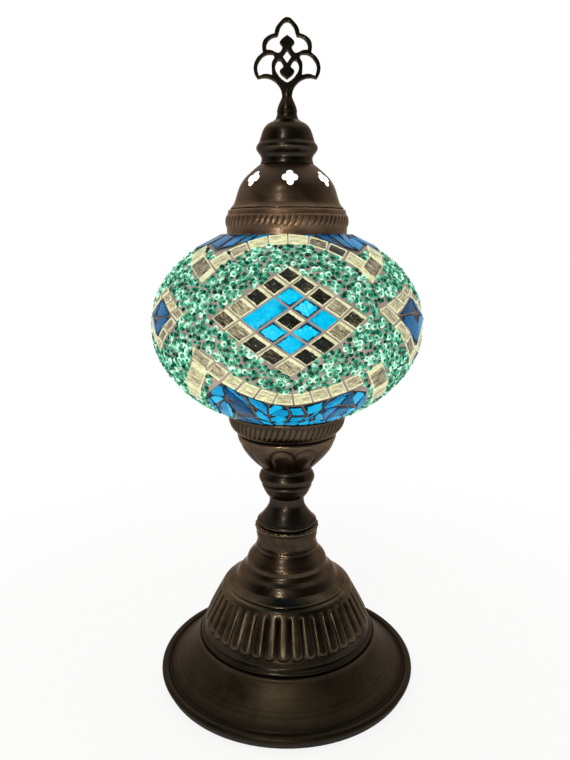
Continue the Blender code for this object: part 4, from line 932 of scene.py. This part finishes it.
def grout_skin(finish):
    back = (GROUT_SHELL[0] - GROUT_THICKNESS, GROUT_SHELL[1] - GROUT_THICKNESS)
    limit = MOSAIC_LATITUDE
    outline = arc(GROUT_SHELL, limit, -limit, 64) + arc(back, -limit, limit, 24)
    bm = turned(outline, 160)
    soften(bm, 0.5)
    piece("grout_skin", bm, [finish], "stand", ["mosaic_layer"])


def gasket(finish):
    low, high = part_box("globe_gasket")
    foot = low.z / MM
    top = high.z / MM
    bm = turned(line((36.6, top), (36.6, foot), (33.8, foot), (33.8, top)), 96)
    soften(bm, 0.3)
    piece("rubber_gasket", bm, [finish], "stand", ["globe_gasket"])


def felt_disc(finish):
    low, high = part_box("felt_pad")
    foot = low.z / MM
    top = high.z / MM
    radius = high.x / MM
    bm = turned(line((0, top), (radius, top), (radius, foot), (0, foot)), 128)
    soften(bm, 0.5)
    piece("felt_disc", bm, [finish], "stand", ["felt_pad"])


def bulb_glass(finish):
    low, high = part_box("bulb_envelope")
    foot = low.z / MM
    top = high.z / MM
    radius = 22.5
    middle = top - radius
    turns = [math.radians(5 * step) for step in range(28)]
    ball = [Vector((radius * math.sin(turn), middle + radius * math.cos(turn))) for turn in turns]
    neck = smooth_run([(12.6, middle - 18.9), (10.0, middle - 23.0), (9.0, middle - 26.6), (8.9, foot)], 5)
    bm = turned(ball + neck + line((0, foot)), 64)
    piece("bulb_glass", bm, [finish], "bulb", ["bulb_envelope"])


def shell(spot, lift=0.0):
    """The point over an azimuth and latitude, lifted off the grout in millimetres. Azimuth 0 faces -Y."""
    azimuth = math.radians(spot[0])
    latitude = math.radians(spot[1])
    radius = (GROUT_SHELL[0] + lift) * math.cos(latitude)
    height = GLOBE_MIDDLE + (GROUT_SHELL[1] + lift) * math.sin(latitude)
    return Vector((radius * math.sin(azimuth), -radius * math.cos(azimuth), height)) * MM


def turn_by(corners, panel):
    return [corner + Vector((PANEL_TURN * panel, 0)) for corner in corners]


class Tiling:
    """A bmesh of flat glass tiles, whose middles stand proud of the curved grout."""

    def __init__(self, seed):
        self.bm = bmesh.new()
        self.scrap = bpy.data.meshes.new("scrap")
        self.random = random.Random(seed)

    def lay(self, corners, tone=0.5, proud=TILE_PROUD, edge=0.35, material=0):
        """Adds a tile with these corners, given anticlockwise as azimuths and latitudes."""
        bm = bmesh.new()
        base = [shell(corner, -TILE_SUNK) for corner in corners]
        middle = sum(base, Vector()) / len(base)
        face = bm.faces.new([bm.verts.new(point) for point in base])
        face.normal_update()
        normal = face.normal.copy()
        spot = sum(corners, Vector((0, 0))) / len(corners)
        bulge = (shell(spot, -TILE_SUNK) - middle).dot(normal)
        tilt = Vector([self.random.uniform(-0.012, 0.012) for _ in range(3)])
        grown = bmesh.ops.extrude_face_region(bm, geom=[face])["geom"]
        for item in grown:
            if isinstance(item, bmesh.types.BMVert):
                item.co += normal * ((TILE_SUNK + proud) * MM + bulge + (item.co - middle).dot(tilt))
        top = next(item for item in grown if isinstance(item, bmesh.types.BMFace))
        rounded(bm, list(top.edges), edge)
        bmesh.ops.recalc_face_normals(bm, faces=bm.faces)
        self.mark(bm, base, middle, tone, material)
        bm.to_mesh(self.scrap)
        bm.free()
        self.bm.from_mesh(self.scrap)

    def mark(self, bm, base, middle, tone, material):
        """Stores a tile's shade, its own chance number and where each point lies on it."""
        tones = bm.faces.layers.float.new("tone")
        chances = bm.faces.layers.float.new("chance")
        places = bm.loops.layers.uv.new("tile")
        along, across = self.frame(base)
        chance = self.random.random()
        for face in bm.faces:
            face.material_index = material
            face[tones] = tone
            face[chances] = chance
            for loop in face.loops:
                away = loop.vert.co - middle
                loop[places].uv = (0.5 + away.dot(along), 0.5 + away.dot(across))

    def frame(self, base):
        """Vectors that measure a point along and across a tile, with the tile one unit each way."""
        if len(base) == 4:
            along = (base[1] - base[0] + base[2] - base[3]) / 2
            across = (base[3] - base[0] + base[2] - base[1]) / 2
        else:
            along = base[1] - base[0]
            across = base[2] - (base[0] + base[1]) / 2
        normal = along.cross(across)
        area = normal.length_squared
        return across.cross(normal) / area, normal.cross(along) / area


def diamond_corners(middle, half):
    return [middle + Vector(corner) * half for corner in ((-1, 0), (0, -1), (1, 0), (0, 1))]


def medallion():
    """The medallion's tiles, as column, row and corners. Column 0, row 0 is the lowest."""
    step = MEDALLION_HALF / MEDALLION_TILES
    keep = 1 - GROUT_GAP / 2 * math.hypot(1 / step.x, 1 / step.y)
    for column in range(MEDALLION_TILES):
        for row in range(MEDALLION_TILES):
            away = Vector(((column - row) * step.x, (column + row + 1 - MEDALLION_TILES) * step.y))
            yield column, row, diamond_corners(MEDALLION_CENTRE + away, step * keep)


def arch_height(azimuth, crown, left, right, power, depth):
    """Latitude of the middle of an arch or swag at an azimuth. Each end gives its azimuth and its change of
    latitude from the crown. The depth is the width of the row, which arch_point uses."""
    end = right if azimuth > 0 else left
    return crown + end.y * abs(azimuth / end.x) ** power


def arch_point(azimuth, side, form):
    """A point on the upper edge of an arch for side 1, or on its lower edge for side -1."""
    step = 0.5
    rise = (arch_height(azimuth + step, **form) - arch_height(azimuth - step, **form)) / (2 * step)
    tilt = math.atan2(rise, math.cos(math.radians(arch_height(azimuth, **form))))
    out = Vector((-math.sin(tilt), math.cos(tilt))) * (side * form["depth"] / 2)
    return Vector((azimuth + out.x, arch_height(azimuth, **form) + out.y))


def arch_stops(form, count):
    """Azimuths that share an arch out into equal lengths."""
    steps = 120
    left = form["left"].x
    width = form["right"].x - left
    azimuths = [left + width * step / steps for step in range(steps + 1)]
    places = [shell((azimuth, arch_height(azimuth, **form))) for azimuth in azimuths]
    lengths = [0.0]
    for before, after in zip(places, places[1:]):
        lengths.append(lengths[-1] + (after - before).length)
    stops = []
    for tile in range(count + 1):
        wanted = lengths[-1] * tile / count
        nearest = min(range(steps + 1), key=lambda step: abs(lengths[step] - wanted))
        stops.append(azimuths[nearest])
    return stops


def arch_tiles(form, count):
    """A row of tiles of equal length along an arch or swag."""
    stops = arch_stops(form, count)
    gap = GROUT_GAP / 2
    for start, end in zip(stops, stops[1:]):
        ends = ((start + gap, -1), (end - gap, -1), (end - gap, 1), (start + gap, 1))
        yield [arch_point(azimuth, side, form) for azimuth, side in ends]


def swag_tiles():
    """The swag's tiles. The first has its upper corner drawn out over the bar beside it."""
    tiles = list(arch_tiles(SWAG, SWAG_TILES))
    tiles[0][3] += SWAG_END_PULL
    return tiles


def panel_bars(panel):
    """The corner bars of a panel, each with its side and the shades of its inner and outer tile. The upper
    bars of the front panel are long, and take the place of those beside them on the next panels."""
    for side in (-1, 1):
        yield LOWER_BAR, side, 0.72 if side < 0 else 0.56, 0.74
        if panel == 0:
            yield UPPER_BAR, side, 0.50, 0.74
        elif side == (1 if panel == 1 else -1):
            yield SHORT_BAR, side, 0.50, 0.74


def bar_corners(start, length, tilt, side, first=0.0, last=1.0):
    """A stretch of a corner bar, on the right of a panel for side 1 and on its left for side -1."""
    along = Vector((math.cos(math.radians(tilt)), math.sin(math.radians(tilt))))
    across = Vector((-along.y, along.x)) * BAR_WIDTH / 2
    corners = []
    for share, reach in ((first, -1), (last, -1), (last, 1), (first, 1)):
        corner = start + along * (length * share) + across * reach
        corners.append(Vector((side * corner.x, corner.y)))
    return corners[::side]


def side_point(panel, right_share, left_share):
    """A point of the diamond to the right of a panel, by its shares along the two edges from the lower corner."""
    lower, right, upper, left = SIDE_DIAMONDS[panel]
    return lower.lerp(right, right_share).lerp(left.lerp(upper, right_share), left_share)


def side_border(panel):
    """The clear tiles along the edges of the diamond to the right of a panel, each row against the next."""
    length = (1 - SIDE_BORDER) / SIDE_TILES
    for tile in range(SIDE_TILES):
        start = length * tile
        end = start + length
        shares = [(start, 0.0), (end, 0.0), (end, SIDE_BORDER), (start, SIDE_BORDER)]
        for _ in range(4):
            yield shrunk([side_point(panel, *share) for share in shares], 0.8)
            shares = [(1 - second, first) for first, second in shares]


def spandrel_foot(azimuth):
    """Latitude of the lower edge of the blue glass above an arch and the bars at its ends."""
    end = ARCH["right"].x if azimuth > 0 else -ARCH["left"].x
    side = abs(azimuth)
    if side < end:
        return arch_height(azimuth, **ARCH) + ARCH["depth"] * 0.5 + 3.0 * (side / end) ** 4
    return 45.2 + (side - end) * 0.3


def apron_top(azimuth):
    """Latitude of the upper edge of the blue glass under a swag and inside the bars at its ends."""
    end = SWAG["right"].x if azimuth > 0 else -SWAG["left"].x
    side = abs(azimuth)
    height = arch_height(min(max(azimuth, SWAG["left"].x), SWAG["right"].x), **SWAG)
    under = height - SWAG["depth"] * 0.5 - 0.8 - 1.2 * min(side / end, 1.0) ** 2
    return max(min(under, -18.6 - (side - 30.0) * 1.45), -60.5)


def shard_cells(columns, low, high, rows, chances):
    """Irregular pieces of broken glass between two edges, in columns at the given azimuths."""
    grid = []
    last = len(columns) - 1
    for index, azimuth in enumerate(columns):
        points = []
        for row in range(rows + 1):
            sway = chances.uniform(-0.27, 0.27) / rows if 0 < row < rows else 0.0
            shift = chances.uniform(-0.3, 0.3) * (columns[1] - columns[0]) if 0 < index < last else 0.0
            place = azimuth + shift
            foot = low(place)
            points.append(Vector((place, foot + (high(place) - foot) * (row / rows + sway))))
        grid.append(points)
    for left, right in zip(grid, grid[1:]):
        for row in range(rows):
            corners = [left[row], right[row], right[row + 1], left[row + 1]]
            cut = chances.random()
            if cut < 0.3:
                yield corners[:3]
                yield [corners[0], corners[2], corners[3]]
            elif cut < 0.6:
                yield [corners[0], corners[1], corners[3]]
                yield corners[1:]
            else:
                yield corners


def diamond_cells(panel, chances):
    """Broken glass inside the border of a side diamond."""
    low = SIDE_BORDER + 0.015
    high = 1 - low
    rim = [side_point(panel, *share) for share in ((low, low), (high, low), (high, high), (low, high))]
    hub = sum(rim, Vector((0, 0))) / 4 + Vector((chances.uniform(-4, 4), chances.uniform(-7, 7)))
    for before, after in zip(rim, rim[1:] + rim[:1]):
        yield [before, after, hub]


def shrunk(corners, gap):
    """Corners drawn in towards their middle, to leave a gap in degrees round the piece."""
    middle = sum(corners, Vector((0, 0))) / len(corners)
    stretch = math.cos(math.radians(middle.y))
    drawn = []
    for corner in corners:
        away = corner - middle
        length = math.hypot(away.x * stretch, away.y)
        drawn.append(middle + away * max(1 - gap / max(length, 0.1), 0.3))
    return drawn


def broad(corners):
    """Whether a shard is large enough to lay."""
    area = 0.0
    for before, after in zip(corners[-1:] + corners[:-1], corners):
        area += before.cross(after) / 2
    return area * math.cos(math.radians(corners[0].y)) > 5.0


def clear_glass(finish):
    """The silvered tiles: the medallion's border and middle, the arches, swags, bars and side diamonds."""
    tiling = Tiling(11)
    ring_tones = {(4, 4): 0.22, (4, 3): 0.26, (4, 2): 0.16, (4, 1): 0.60, (4, 0): 0.30, (3, 4): 0.18}
    ring_tones.update({(2, 4): 0.15, (1, 4): 0.60, (0, 4): 0.36, (0, 3): 0.55, (0, 2): 0.16, (0, 1): 0.26})
    ring_tones.update({(0, 0): 0.62, (3, 0): 0.55, (2, 0): 0.10, (1, 0): 0.12, (2, 2): 0.04})
    arch_tones = [0.74, 0.62, 0.82, 0.86, 0.84, 0.45, 0.22, 0.74]
    swag_tones = [0.60, 0.62, 0.80, 0.84, 0.80, 0.72, 0.78, 0.70, 0.78, 0.66]
    for panel in range(PANELS):
        for column, row, corners in medallion():
            if (column, row) in ring_tones:
                tiling.lay(turn_by(corners, panel), ring_tones[column, row])
        for tone, corners in zip(arch_tones, arch_tiles(ARCH, ARCH_TILES)):
            tiling.lay(turn_by(corners, panel), tone)
        for tone, corners in zip(swag_tones, swag_tiles()):
            tiling.lay(turn_by(corners[2:] + corners[:2], panel), tone)
        for corners in side_border(panel):
            tiling.lay(turn_by(corners, panel), tiling.random.choice((0.5, 0.58, 0.66, 0.74)))
        for bar, side, inner, outer in panel_bars(panel):
            for first, last, tone in ((0.0, 0.53, inner), (0.56, 1.0, outer)):
                corners = bar_corners(**bar, side=side, first=first, last=last)
                tiling.lay(turn_by(corners[1:] + corners[:1], panel), tone)
    piece("silvered_tiles", tiling.bm, [finish], "stand")


def turquoise_glass(finish):
    """The bright tiles of the medallion, one of them long."""
    tiling = Tiling(23)
    middle = MEDALLION_TILES // 2
    for panel in range(PANELS):
        tiles = {(column, row): corners for column, row, corners in medallion()}
        first = tiles.pop((middle - 1, middle + 1))
        second = tiles.pop((middle, middle + 1))
        long_tile = [first[0], first[1], second[2], second[3]]
        tiling.lay(turn_by(long_tile, panel))
        for (column, row), corners in tiles.items():
            if max(abs(column - middle), abs(row - middle)) == 1:
                tiling.lay(turn_by(corners, panel))
    piece("turquoise_tiles", tiling.bm, [finish], "stand")


def blue_glass(finish, bed, deep):
    """Broken blue glass on a dark bed, under the swags, above the arches and inside the side diamonds."""
    tiling = Tiling(37)
    chances = random.Random(5)
    for panel in range(PANELS):
        dark_cells = list(diamond_cells(panel, chances))
        for columns in ([-59, -47, -35, -23, -10], [10, 23, 35, 47, 59]):
            dark_cells += shard_cells(columns, spandrel_foot, lambda azimuth: BLUE_LIMIT, 1, chances)
        columns = [-46, -37, -28, -19, -9, 0, 9, 18, 27, 36, 45]
        cells = list(shard_cells(columns, lambda azimuth: -BLUE_LIMIT, apron_top, 3, chances))
        for corners in cells + dark_cells:
            tiling.lay(turn_by(corners, panel), proud=0.05, edge=0.02, material=1)
            if broad(corners):
                shade, gap = (2, 1.1) if corners in dark_cells else (0, 0.8)
                tiling.lay(turn_by(shrunk(corners, gap), panel), edge=0.2, material=shade)
    piece("blue_shards", tiling.bm, [finish, bed, deep], "stand")


def bead_shape():
    """A short glass tube with rounded ends and a blind bore along Z. One side of it is in painted shade, the rim
    of its bore has a painted highlight and the bore painted shade.
    """
    end = 0.6 * BEAD_RADIUS
    wall = 0.62 * BEAD_RADIUS
    half = line((0, 0.2), (0.3 * BEAD_RADIUS, 0.35), (wall, end))
    half += line((0.9 * BEAD_RADIUS, 0.75 * end), (BEAD_RADIUS, 0))
    foot = [Vector((point.x, -point.y)) for point in half[-2:0:-1]]
    bm = turned(half + foot + line((0, -0.2)), 8)
    bm.verts.layers.float.new("tint")
    shade = bm.verts.layers.float.new("shade")
    for vert in bm.verts:
        reach = math.hypot(vert.co.x, vert.co.y) / MM
        # painted highlight on the rim of the bore, painted shade inside the bore
        rim = 0.22 if abs(reach - wall) < 0.1 else (-0.35 if reach < wall else 0.0)
        vert[shade] = 0.36 * vert.co.x / (BEAD_RADIUS * MM) + rim
    mesh = bpy.data.meshes.new("bead")
    bm.to_mesh(mesh)
    bm.free()
    return mesh


def keep_outs():
    """Outlines round the globe that the beads stay clear of, all anticlockwise."""
    found = []
    for panel in range(PANELS):
        laid = list(arch_tiles(ARCH, ARCH_TILES)) + swag_tiles()
        laid += [bar_corners(**bar, side=side) for bar, side, _, _ in panel_bars(panel)]
        laid += [diamond_corners(MEDALLION_CENTRE, MEDALLION_HALF), SIDE_DIAMONDS[panel]]
        for turn in (panel - PANELS, panel, panel + PANELS):
            found += [turn_by(corners, turn) for corners in laid]
    return found


def within(corners, spot, margin):
    """Whether a spot lies in an outline or within the margin of it."""
    for start, end in zip(corners, corners[1:] + corners[:1]):
        along = (end - start).normalized()
        if along.cross(spot - start) < -margin:
            return False
    return True


def bead_spots(chances):
    """Places for the beads as azimuth and latitude, in rows that are shaken until they look strewn."""
    outlines = keep_outs()
    latitude = BEAD_EDGE - MOSAIC_LATITUDE
    while latitude < MOSAIC_LATITUDE - BEAD_EDGE:
        turn = math.radians(latitude)
        rise = math.radians(math.hypot(GROUT_SHELL[0] * math.sin(turn), GROUT_SHELL[1] * math.cos(turn)))
        count = int(math.tau * GROUT_SHELL[0] * math.cos(turn) / BEAD_SPACING)
        start = chances.uniform(0, 360)
        for bead in range(count):
            azimuth = (start + 360 * (bead + chances.uniform(-BEAD_SHAKE, BEAD_SHAKE)) / count) % 360 - 180
            spot = Vector((azimuth, latitude + chances.uniform(-BEAD_SHAKE, BEAD_SHAKE) * BEAD_SPACING / rise))
            local = Vector(((azimuth + PANEL_TURN / 2) % PANEL_TURN - PANEL_TURN / 2, spot.y))
            if local.y > spandrel_foot(local.x) - 1:
                continue
            if abs(local.x) < APRON_HALF and local.y < apron_top(local.x) + 1:
                continue
            near = [outline for outline in outlines if abs(outline[0].x - azimuth) < 60]
            if not any(within(outline, spot, BEAD_MARGIN) for outline in near):
                yield spot
        latitude += BEAD_ROW * BEAD_SPACING / rise


def clear_of_glass(bm):
    """Draws the points that lie too deep out to where the beads' backs sit in the grout, clear of the glass."""
    centre = Vector((0, 0, GLOBE_MIDDLE))
    deepest = 1 - BEAD_SUNK / GROUT_SHELL[0]
    for vert in bm.verts:
        away = vert.co / MM - centre
        reach = math.hypot(math.hypot(away.x, away.y) / GROUT_SHELL[0], away.z / GROUT_SHELL[1])
        if reach < deepest:
            vert.co = (centre + away * (deepest / reach)) * MM


def seed_beads(finish):
    """The field of beads, in one piece for each panel. Some stand on end and show their bore, most lie flat."""
    chances = random.Random(71)
    shape = bead_shape()
    count = len(shape.vertices)
    fields = [bmesh.new() for _ in range(PANELS)]
    for spot in bead_spots(chances):
        point = shell(spot)
        out = (shell(spot, 1.0) - point).normalized()
        upright = chances.random() < UPRIGHT_SHARE
        spin = Matrix.Rotation(chances.uniform(0, math.tau), 4, "Z")
        lie = Matrix.Rotation(chances.uniform(-0.25, 0.25) if upright else math.pi / 2, 4, "X")
        size = chances.uniform(0.84, 1.1)
        lift = UPRIGHT_LIFT if upright else FLAT_LIFT
        place = Matrix.Translation(point + out * lift * MM)
        place = place @ out.to_track_quat("Z", "Y").to_matrix().to_4x4() @ spin @ lie @ Matrix.Scale(size, 4)
        # beads on end are painted paler, for the lamp's light seen through their ends, and flat ones darker; the
        # rest of the spread is their own tone
        tint = chances.triangular(0.15, 0.95, 0.65) if upright else chances.triangular(0.0, 0.8, 0.3)
        shape.attributes["tint"].data.foreach_set("value", [tint] * count)
        shape.transform(place)
        fields[int((spot.x + 180) // PANEL_TURN) % PANELS].from_mesh(shape)
        shape.transform(place.inverted())
    for index, field in enumerate(fields):
        clear_of_glass(field)
        piece(f"seed_beads_{index + 1}", field, [finish], "stand")


def dress_nodes():
    """Finishes for the CAD nodes that stay in view."""
    finishes = {
        "brass": plain_metal("fitting_brass", (0.45, 0.31, 0.11), (0.68, 0.50, 0.22), 0.30),
        "steel": plain_metal("zinc_steel", (0.42, 0.42, 0.43), (0.64, 0.64, 0.65), 0.34),
        "felt": matt("black_felt", (0.016, 0.016, 0.018), (0.050, 0.050, 0.054), 0.92, 1800.0),
        "rubber": matt("black_rubber", (0.012, 0.012, 0.012), (0.030, 0.030, 0.030), 0.62, 700.0),
        "phenolic": matt("moulded_resin", (0.020, 0.016, 0.014), (0.042, 0.034, 0.030), 0.42, 500.0),
    }
    slots = {row["node"]: row["material_slot"] for row in frame["record"]["subparts"]}
    # painted light: the finial's fittings beside the bulb, in a paler brass with a painted glow for the bulb's
    # light
    lamplit = plain_metal("lamplit_brass", (0.60, 0.46, 0.22), (0.75, 0.60, 0.32), 0.35, 0.9)
    for name, node in frame["nodes"].items():
        if slots[name] in finishes:
            finish = lamplit if name.startswith("finial_") else finishes[slots[name]]
            for material_slot in node.material_slots:
                material_slot.material = finish
    return finishes


def metalwork():
    """The stand and the cap, in copies of one bronze. Some copies are painted lighter or darker for light and
    shade: the collar, cup and cap lighter for the globe's light, the trumpet, knop, bell and finial darker as
    shade, and the flutes, dish, cup and cap darker at some heights as painted shade.
    """
    stand_bronze = bronze("stand_bronze", (0.027, 0.019, 0.012), (0.071, 0.049, 0.031), (0.20, 0.15, 0.08),
                          wear=0.25, dull=0.31, lacquer=0.2)
    # painted shade: darker on the recessed band under the tongues
    flute_bronze = bronze("flute_bronze", (0.026, 0.019, 0.012), (0.080, 0.061, 0.037), (0.34, 0.27, 0.13),
                          wear=0.05, dull=0.36, lacquer=0.2, painted_shade_heights=(0.0375, 0.0345))
    # painted shade: darker on the rolled rim and the groove inside it
    dish_bronze = bronze("dish_bronze", (0.022, 0.017, 0.010), (0.044, 0.033, 0.020), (0.16, 0.12, 0.06),
                         wear=0.15, dull=0.42, metal=0.7, lines=0.6, lacquer=0.0, painted_shade_heights=(0.011, 0.007))
    # painted light and shade: lighter brown where the globe's light falls, darker towards the top
    lit_and_shaded_cap_bronze = bronze("lit_and_shaded_cap_bronze", (0.060, 0.040, 0.026), (0.132, 0.088, 0.057), (0.24, 0.17, 0.10),
                        wear=0.3, dull=0.38, metal=0.8, painted_shade_heights=(0.311, 0.331))
    # painted light and shade: lighter brown for the globe's light, darker low down for a dark reflection
    lit_and_shaded_cup_bronze = bronze("lit_and_shaded_cup_bronze", (0.050, 0.034, 0.022), (0.120, 0.080, 0.052), (0.24, 0.17, 0.10),
                        wear=0.3, dull=0.36, metal=0.9, lacquer=0.2, painted_shade_heights=(0.165, 0.151))
    # painted light: the lightest copy, for the globe's light on the collar
    globe_lit_collar_bronze = bronze("globe_lit_collar_bronze", (0.095, 0.059, 0.038), (0.210, 0.130, 0.084), (0.28, 0.20, 0.12),
                           wear=0.3, dull=0.40, metal=0.75)
    # painted shade: the darkest copy, for pieces out of the globe's light that reflect the dim room
    shaded_dark_bronze = bronze("shaded_dark_bronze", (0.015, 0.0125, 0.009), (0.040, 0.031, 0.022), (0.13, 0.10, 0.06),
                         wear=0.2, lacquer=0.2)
    base_dish(dish_bronze)
    fluted_dome(flute_bronze)
    stepped_shoulder(stand_bronze)
    stem_drum(stand_bronze)
    stem_trumpet(shaded_dark_bronze)
    stem_knop(shaded_dark_bronze)
    petal_cup(lit_and_shaded_cup_bronze)
    lower_gallery(stand_bronze)
    cap_collar(globe_lit_collar_bronze)
    cap_dome(lit_and_shaded_cap_bronze, lit_lining())
    cap_bell(shaded_dark_bronze)
    finial(shaded_dark_bronze)


def mosaic():
    """The grout with its tiles, shards and beads."""
    grout_skin(grout())
    clear_glass(mirror_tile())
    bright = coloured_tile("turquoise", (0.001, 0.360, 0.660), (0.002, 0.560, 0.850), (0.240, 0.860, 0.930),
                           (0.003, 0.030, 0.070))
    dark = coloured_tile("dark_glass", (0.004, 0.005, 0.007), (0.010, 0.013, 0.018), (0.060, 0.075, 0.090),
                         (0.120, 0.100, 0.080))
    turquoise_glass(bright)
    cobalt = coloured_tile("cobalt", (0.002, 0.045, 0.130), (0.003, 0.260, 0.540), (0.008, 0.450, 0.740),
                           (0.003, 0.010, 0.026), 0.9)
    deep = coloured_tile("deep_blue", (0.001, 0.030, 0.090), (0.001, 0.100, 0.260), (0.004, 0.200, 0.420),
                         (0.002, 0.008, 0.020), 0.8)
    blue_glass(cobalt, dark, deep)
    seed_beads(seed_bead())


def lamp():
    finishes = dress_nodes()
    metalwork()
    glass_globe(blown_glass())
    gasket(finishes["rubber"])
    felt_disc(finishes["felt"])
    bulb_glass(lit_opal())
    mosaic()


def photo_camera():
    data = bpy.data.cameras.new("photo_camera")
    data.sensor_fit = "VERTICAL"
    data.sensor_height = SENSOR
    data.lens = FOCAL_PIXELS / PHOTO_HEIGHT * SENSOR
    data.clip_start = 0.01
    camera = bpy.data.objects.new("photo_camera", data)
    bpy.context.scene.collection.objects.link(camera)
    camera.location = CAMERA_PLACE
    camera.rotation_euler = (math.radians(90 - CAMERA_PITCH), 0, 0)
    bpy.context.scene.camera = camera


def soft_light(name, place, target, size, power, colour):
    data = bpy.data.lights.new(name, "AREA")
    data.size = size
    data.energy = power
    data.color = colour
    light = bpy.data.objects.new(name, data)
    bpy.context.scene.collection.objects.link(light)
    light.location = place
    aim = Vector(target) - Vector(place)
    light.rotation_euler = aim.to_track_quat("-Z", "Y").to_euler()


def room():
    """A surround that is bright behind the lamp, dim behind the camera and plain white to the eye."""
    world = bpy.data.worlds.new("studio")
    bpy.context.scene.world = world
    nodes = Backdrop(world)
    _, depth, _ = nodes.parts(nodes.node("ShaderNodeTexCoord", {}, {}, "Generated"))
    inputs = {"Color": (1.0, 0.96, 0.91), "Strength": nodes.between(depth, -0.45, 0.75, 0.06)}
    walls = nodes.node("ShaderNodeBackground", {}, inputs, "Background")
    white = nodes.node("ShaderNodeBackground", {}, {"Color": (1, 1, 1)}, "Background")
    nodes.done("ShaderNodeOutputWorld", nodes.ray("Camera"), walls, white)


def white_paper():
    """Matt white to the light. A ray that shows it, straight or through a gloss or glass, finds it glowing
    white, with a little of the lamp's shadow close by."""
    paper = bpy.data.materials.new("white_paper")
    nodes = Backdrop(paper)
    reach = nodes.node("ShaderNodeVectorMath", {"operation": "LENGTH"}, {"Vector": nodes.place()}, "Value")
    seen = nodes.ray("Camera").larger(nodes.ray("Glossy")).larger(nodes.ray("Transmission"))
    plain = nodes.node("ShaderNodeBsdfDiffuse", {}, {"Color": (0.9, 0.9, 0.9)}, "BSDF")
    glow = nodes.node("ShaderNodeEmission", {}, {}, "Emission")
    nodes.done("ShaderNodeOutputMaterial", seen * nodes.between(reach, 0.1, 0.45, 0.86), plain, glow)
    return paper


def paper_floor():
    bm = bmesh.new()
    bmesh.ops.create_grid(bm, x_segments=1, y_segments=1, size=4.0)
    floor = helper(bm, "floor")
    floor.data.materials.append(white_paper())


def studio():
    """A white room and floor, with small lamps beside and below the lens and two more overhead."""
    bpy.context.scene.view_settings.view_transform = "Standard"
    room()
    paper_floor()
    target = (0, 0, 0.2)
    soft_light("lens_lamp", (-0.125, -0.44, 0.27), target, 0.04, 0.55, (1.0, 0.95, 0.86))
    soft_light("low_lamp", (-0.05, -0.5, 0.16), target, 0.07, 0.3, (1.0, 0.88, 0.66))
    soft_light("ceiling_lamp", (-0.3, -0.8, 1.05), target, 0.16, 1.7, (1.0, 0.96, 0.90))
    soft_light("overhead", (0, 0.4, 1.6), target, 2.2, 10.0, (1.0, 0.98, 0.95))


lamp()
photo_camera()
studio()
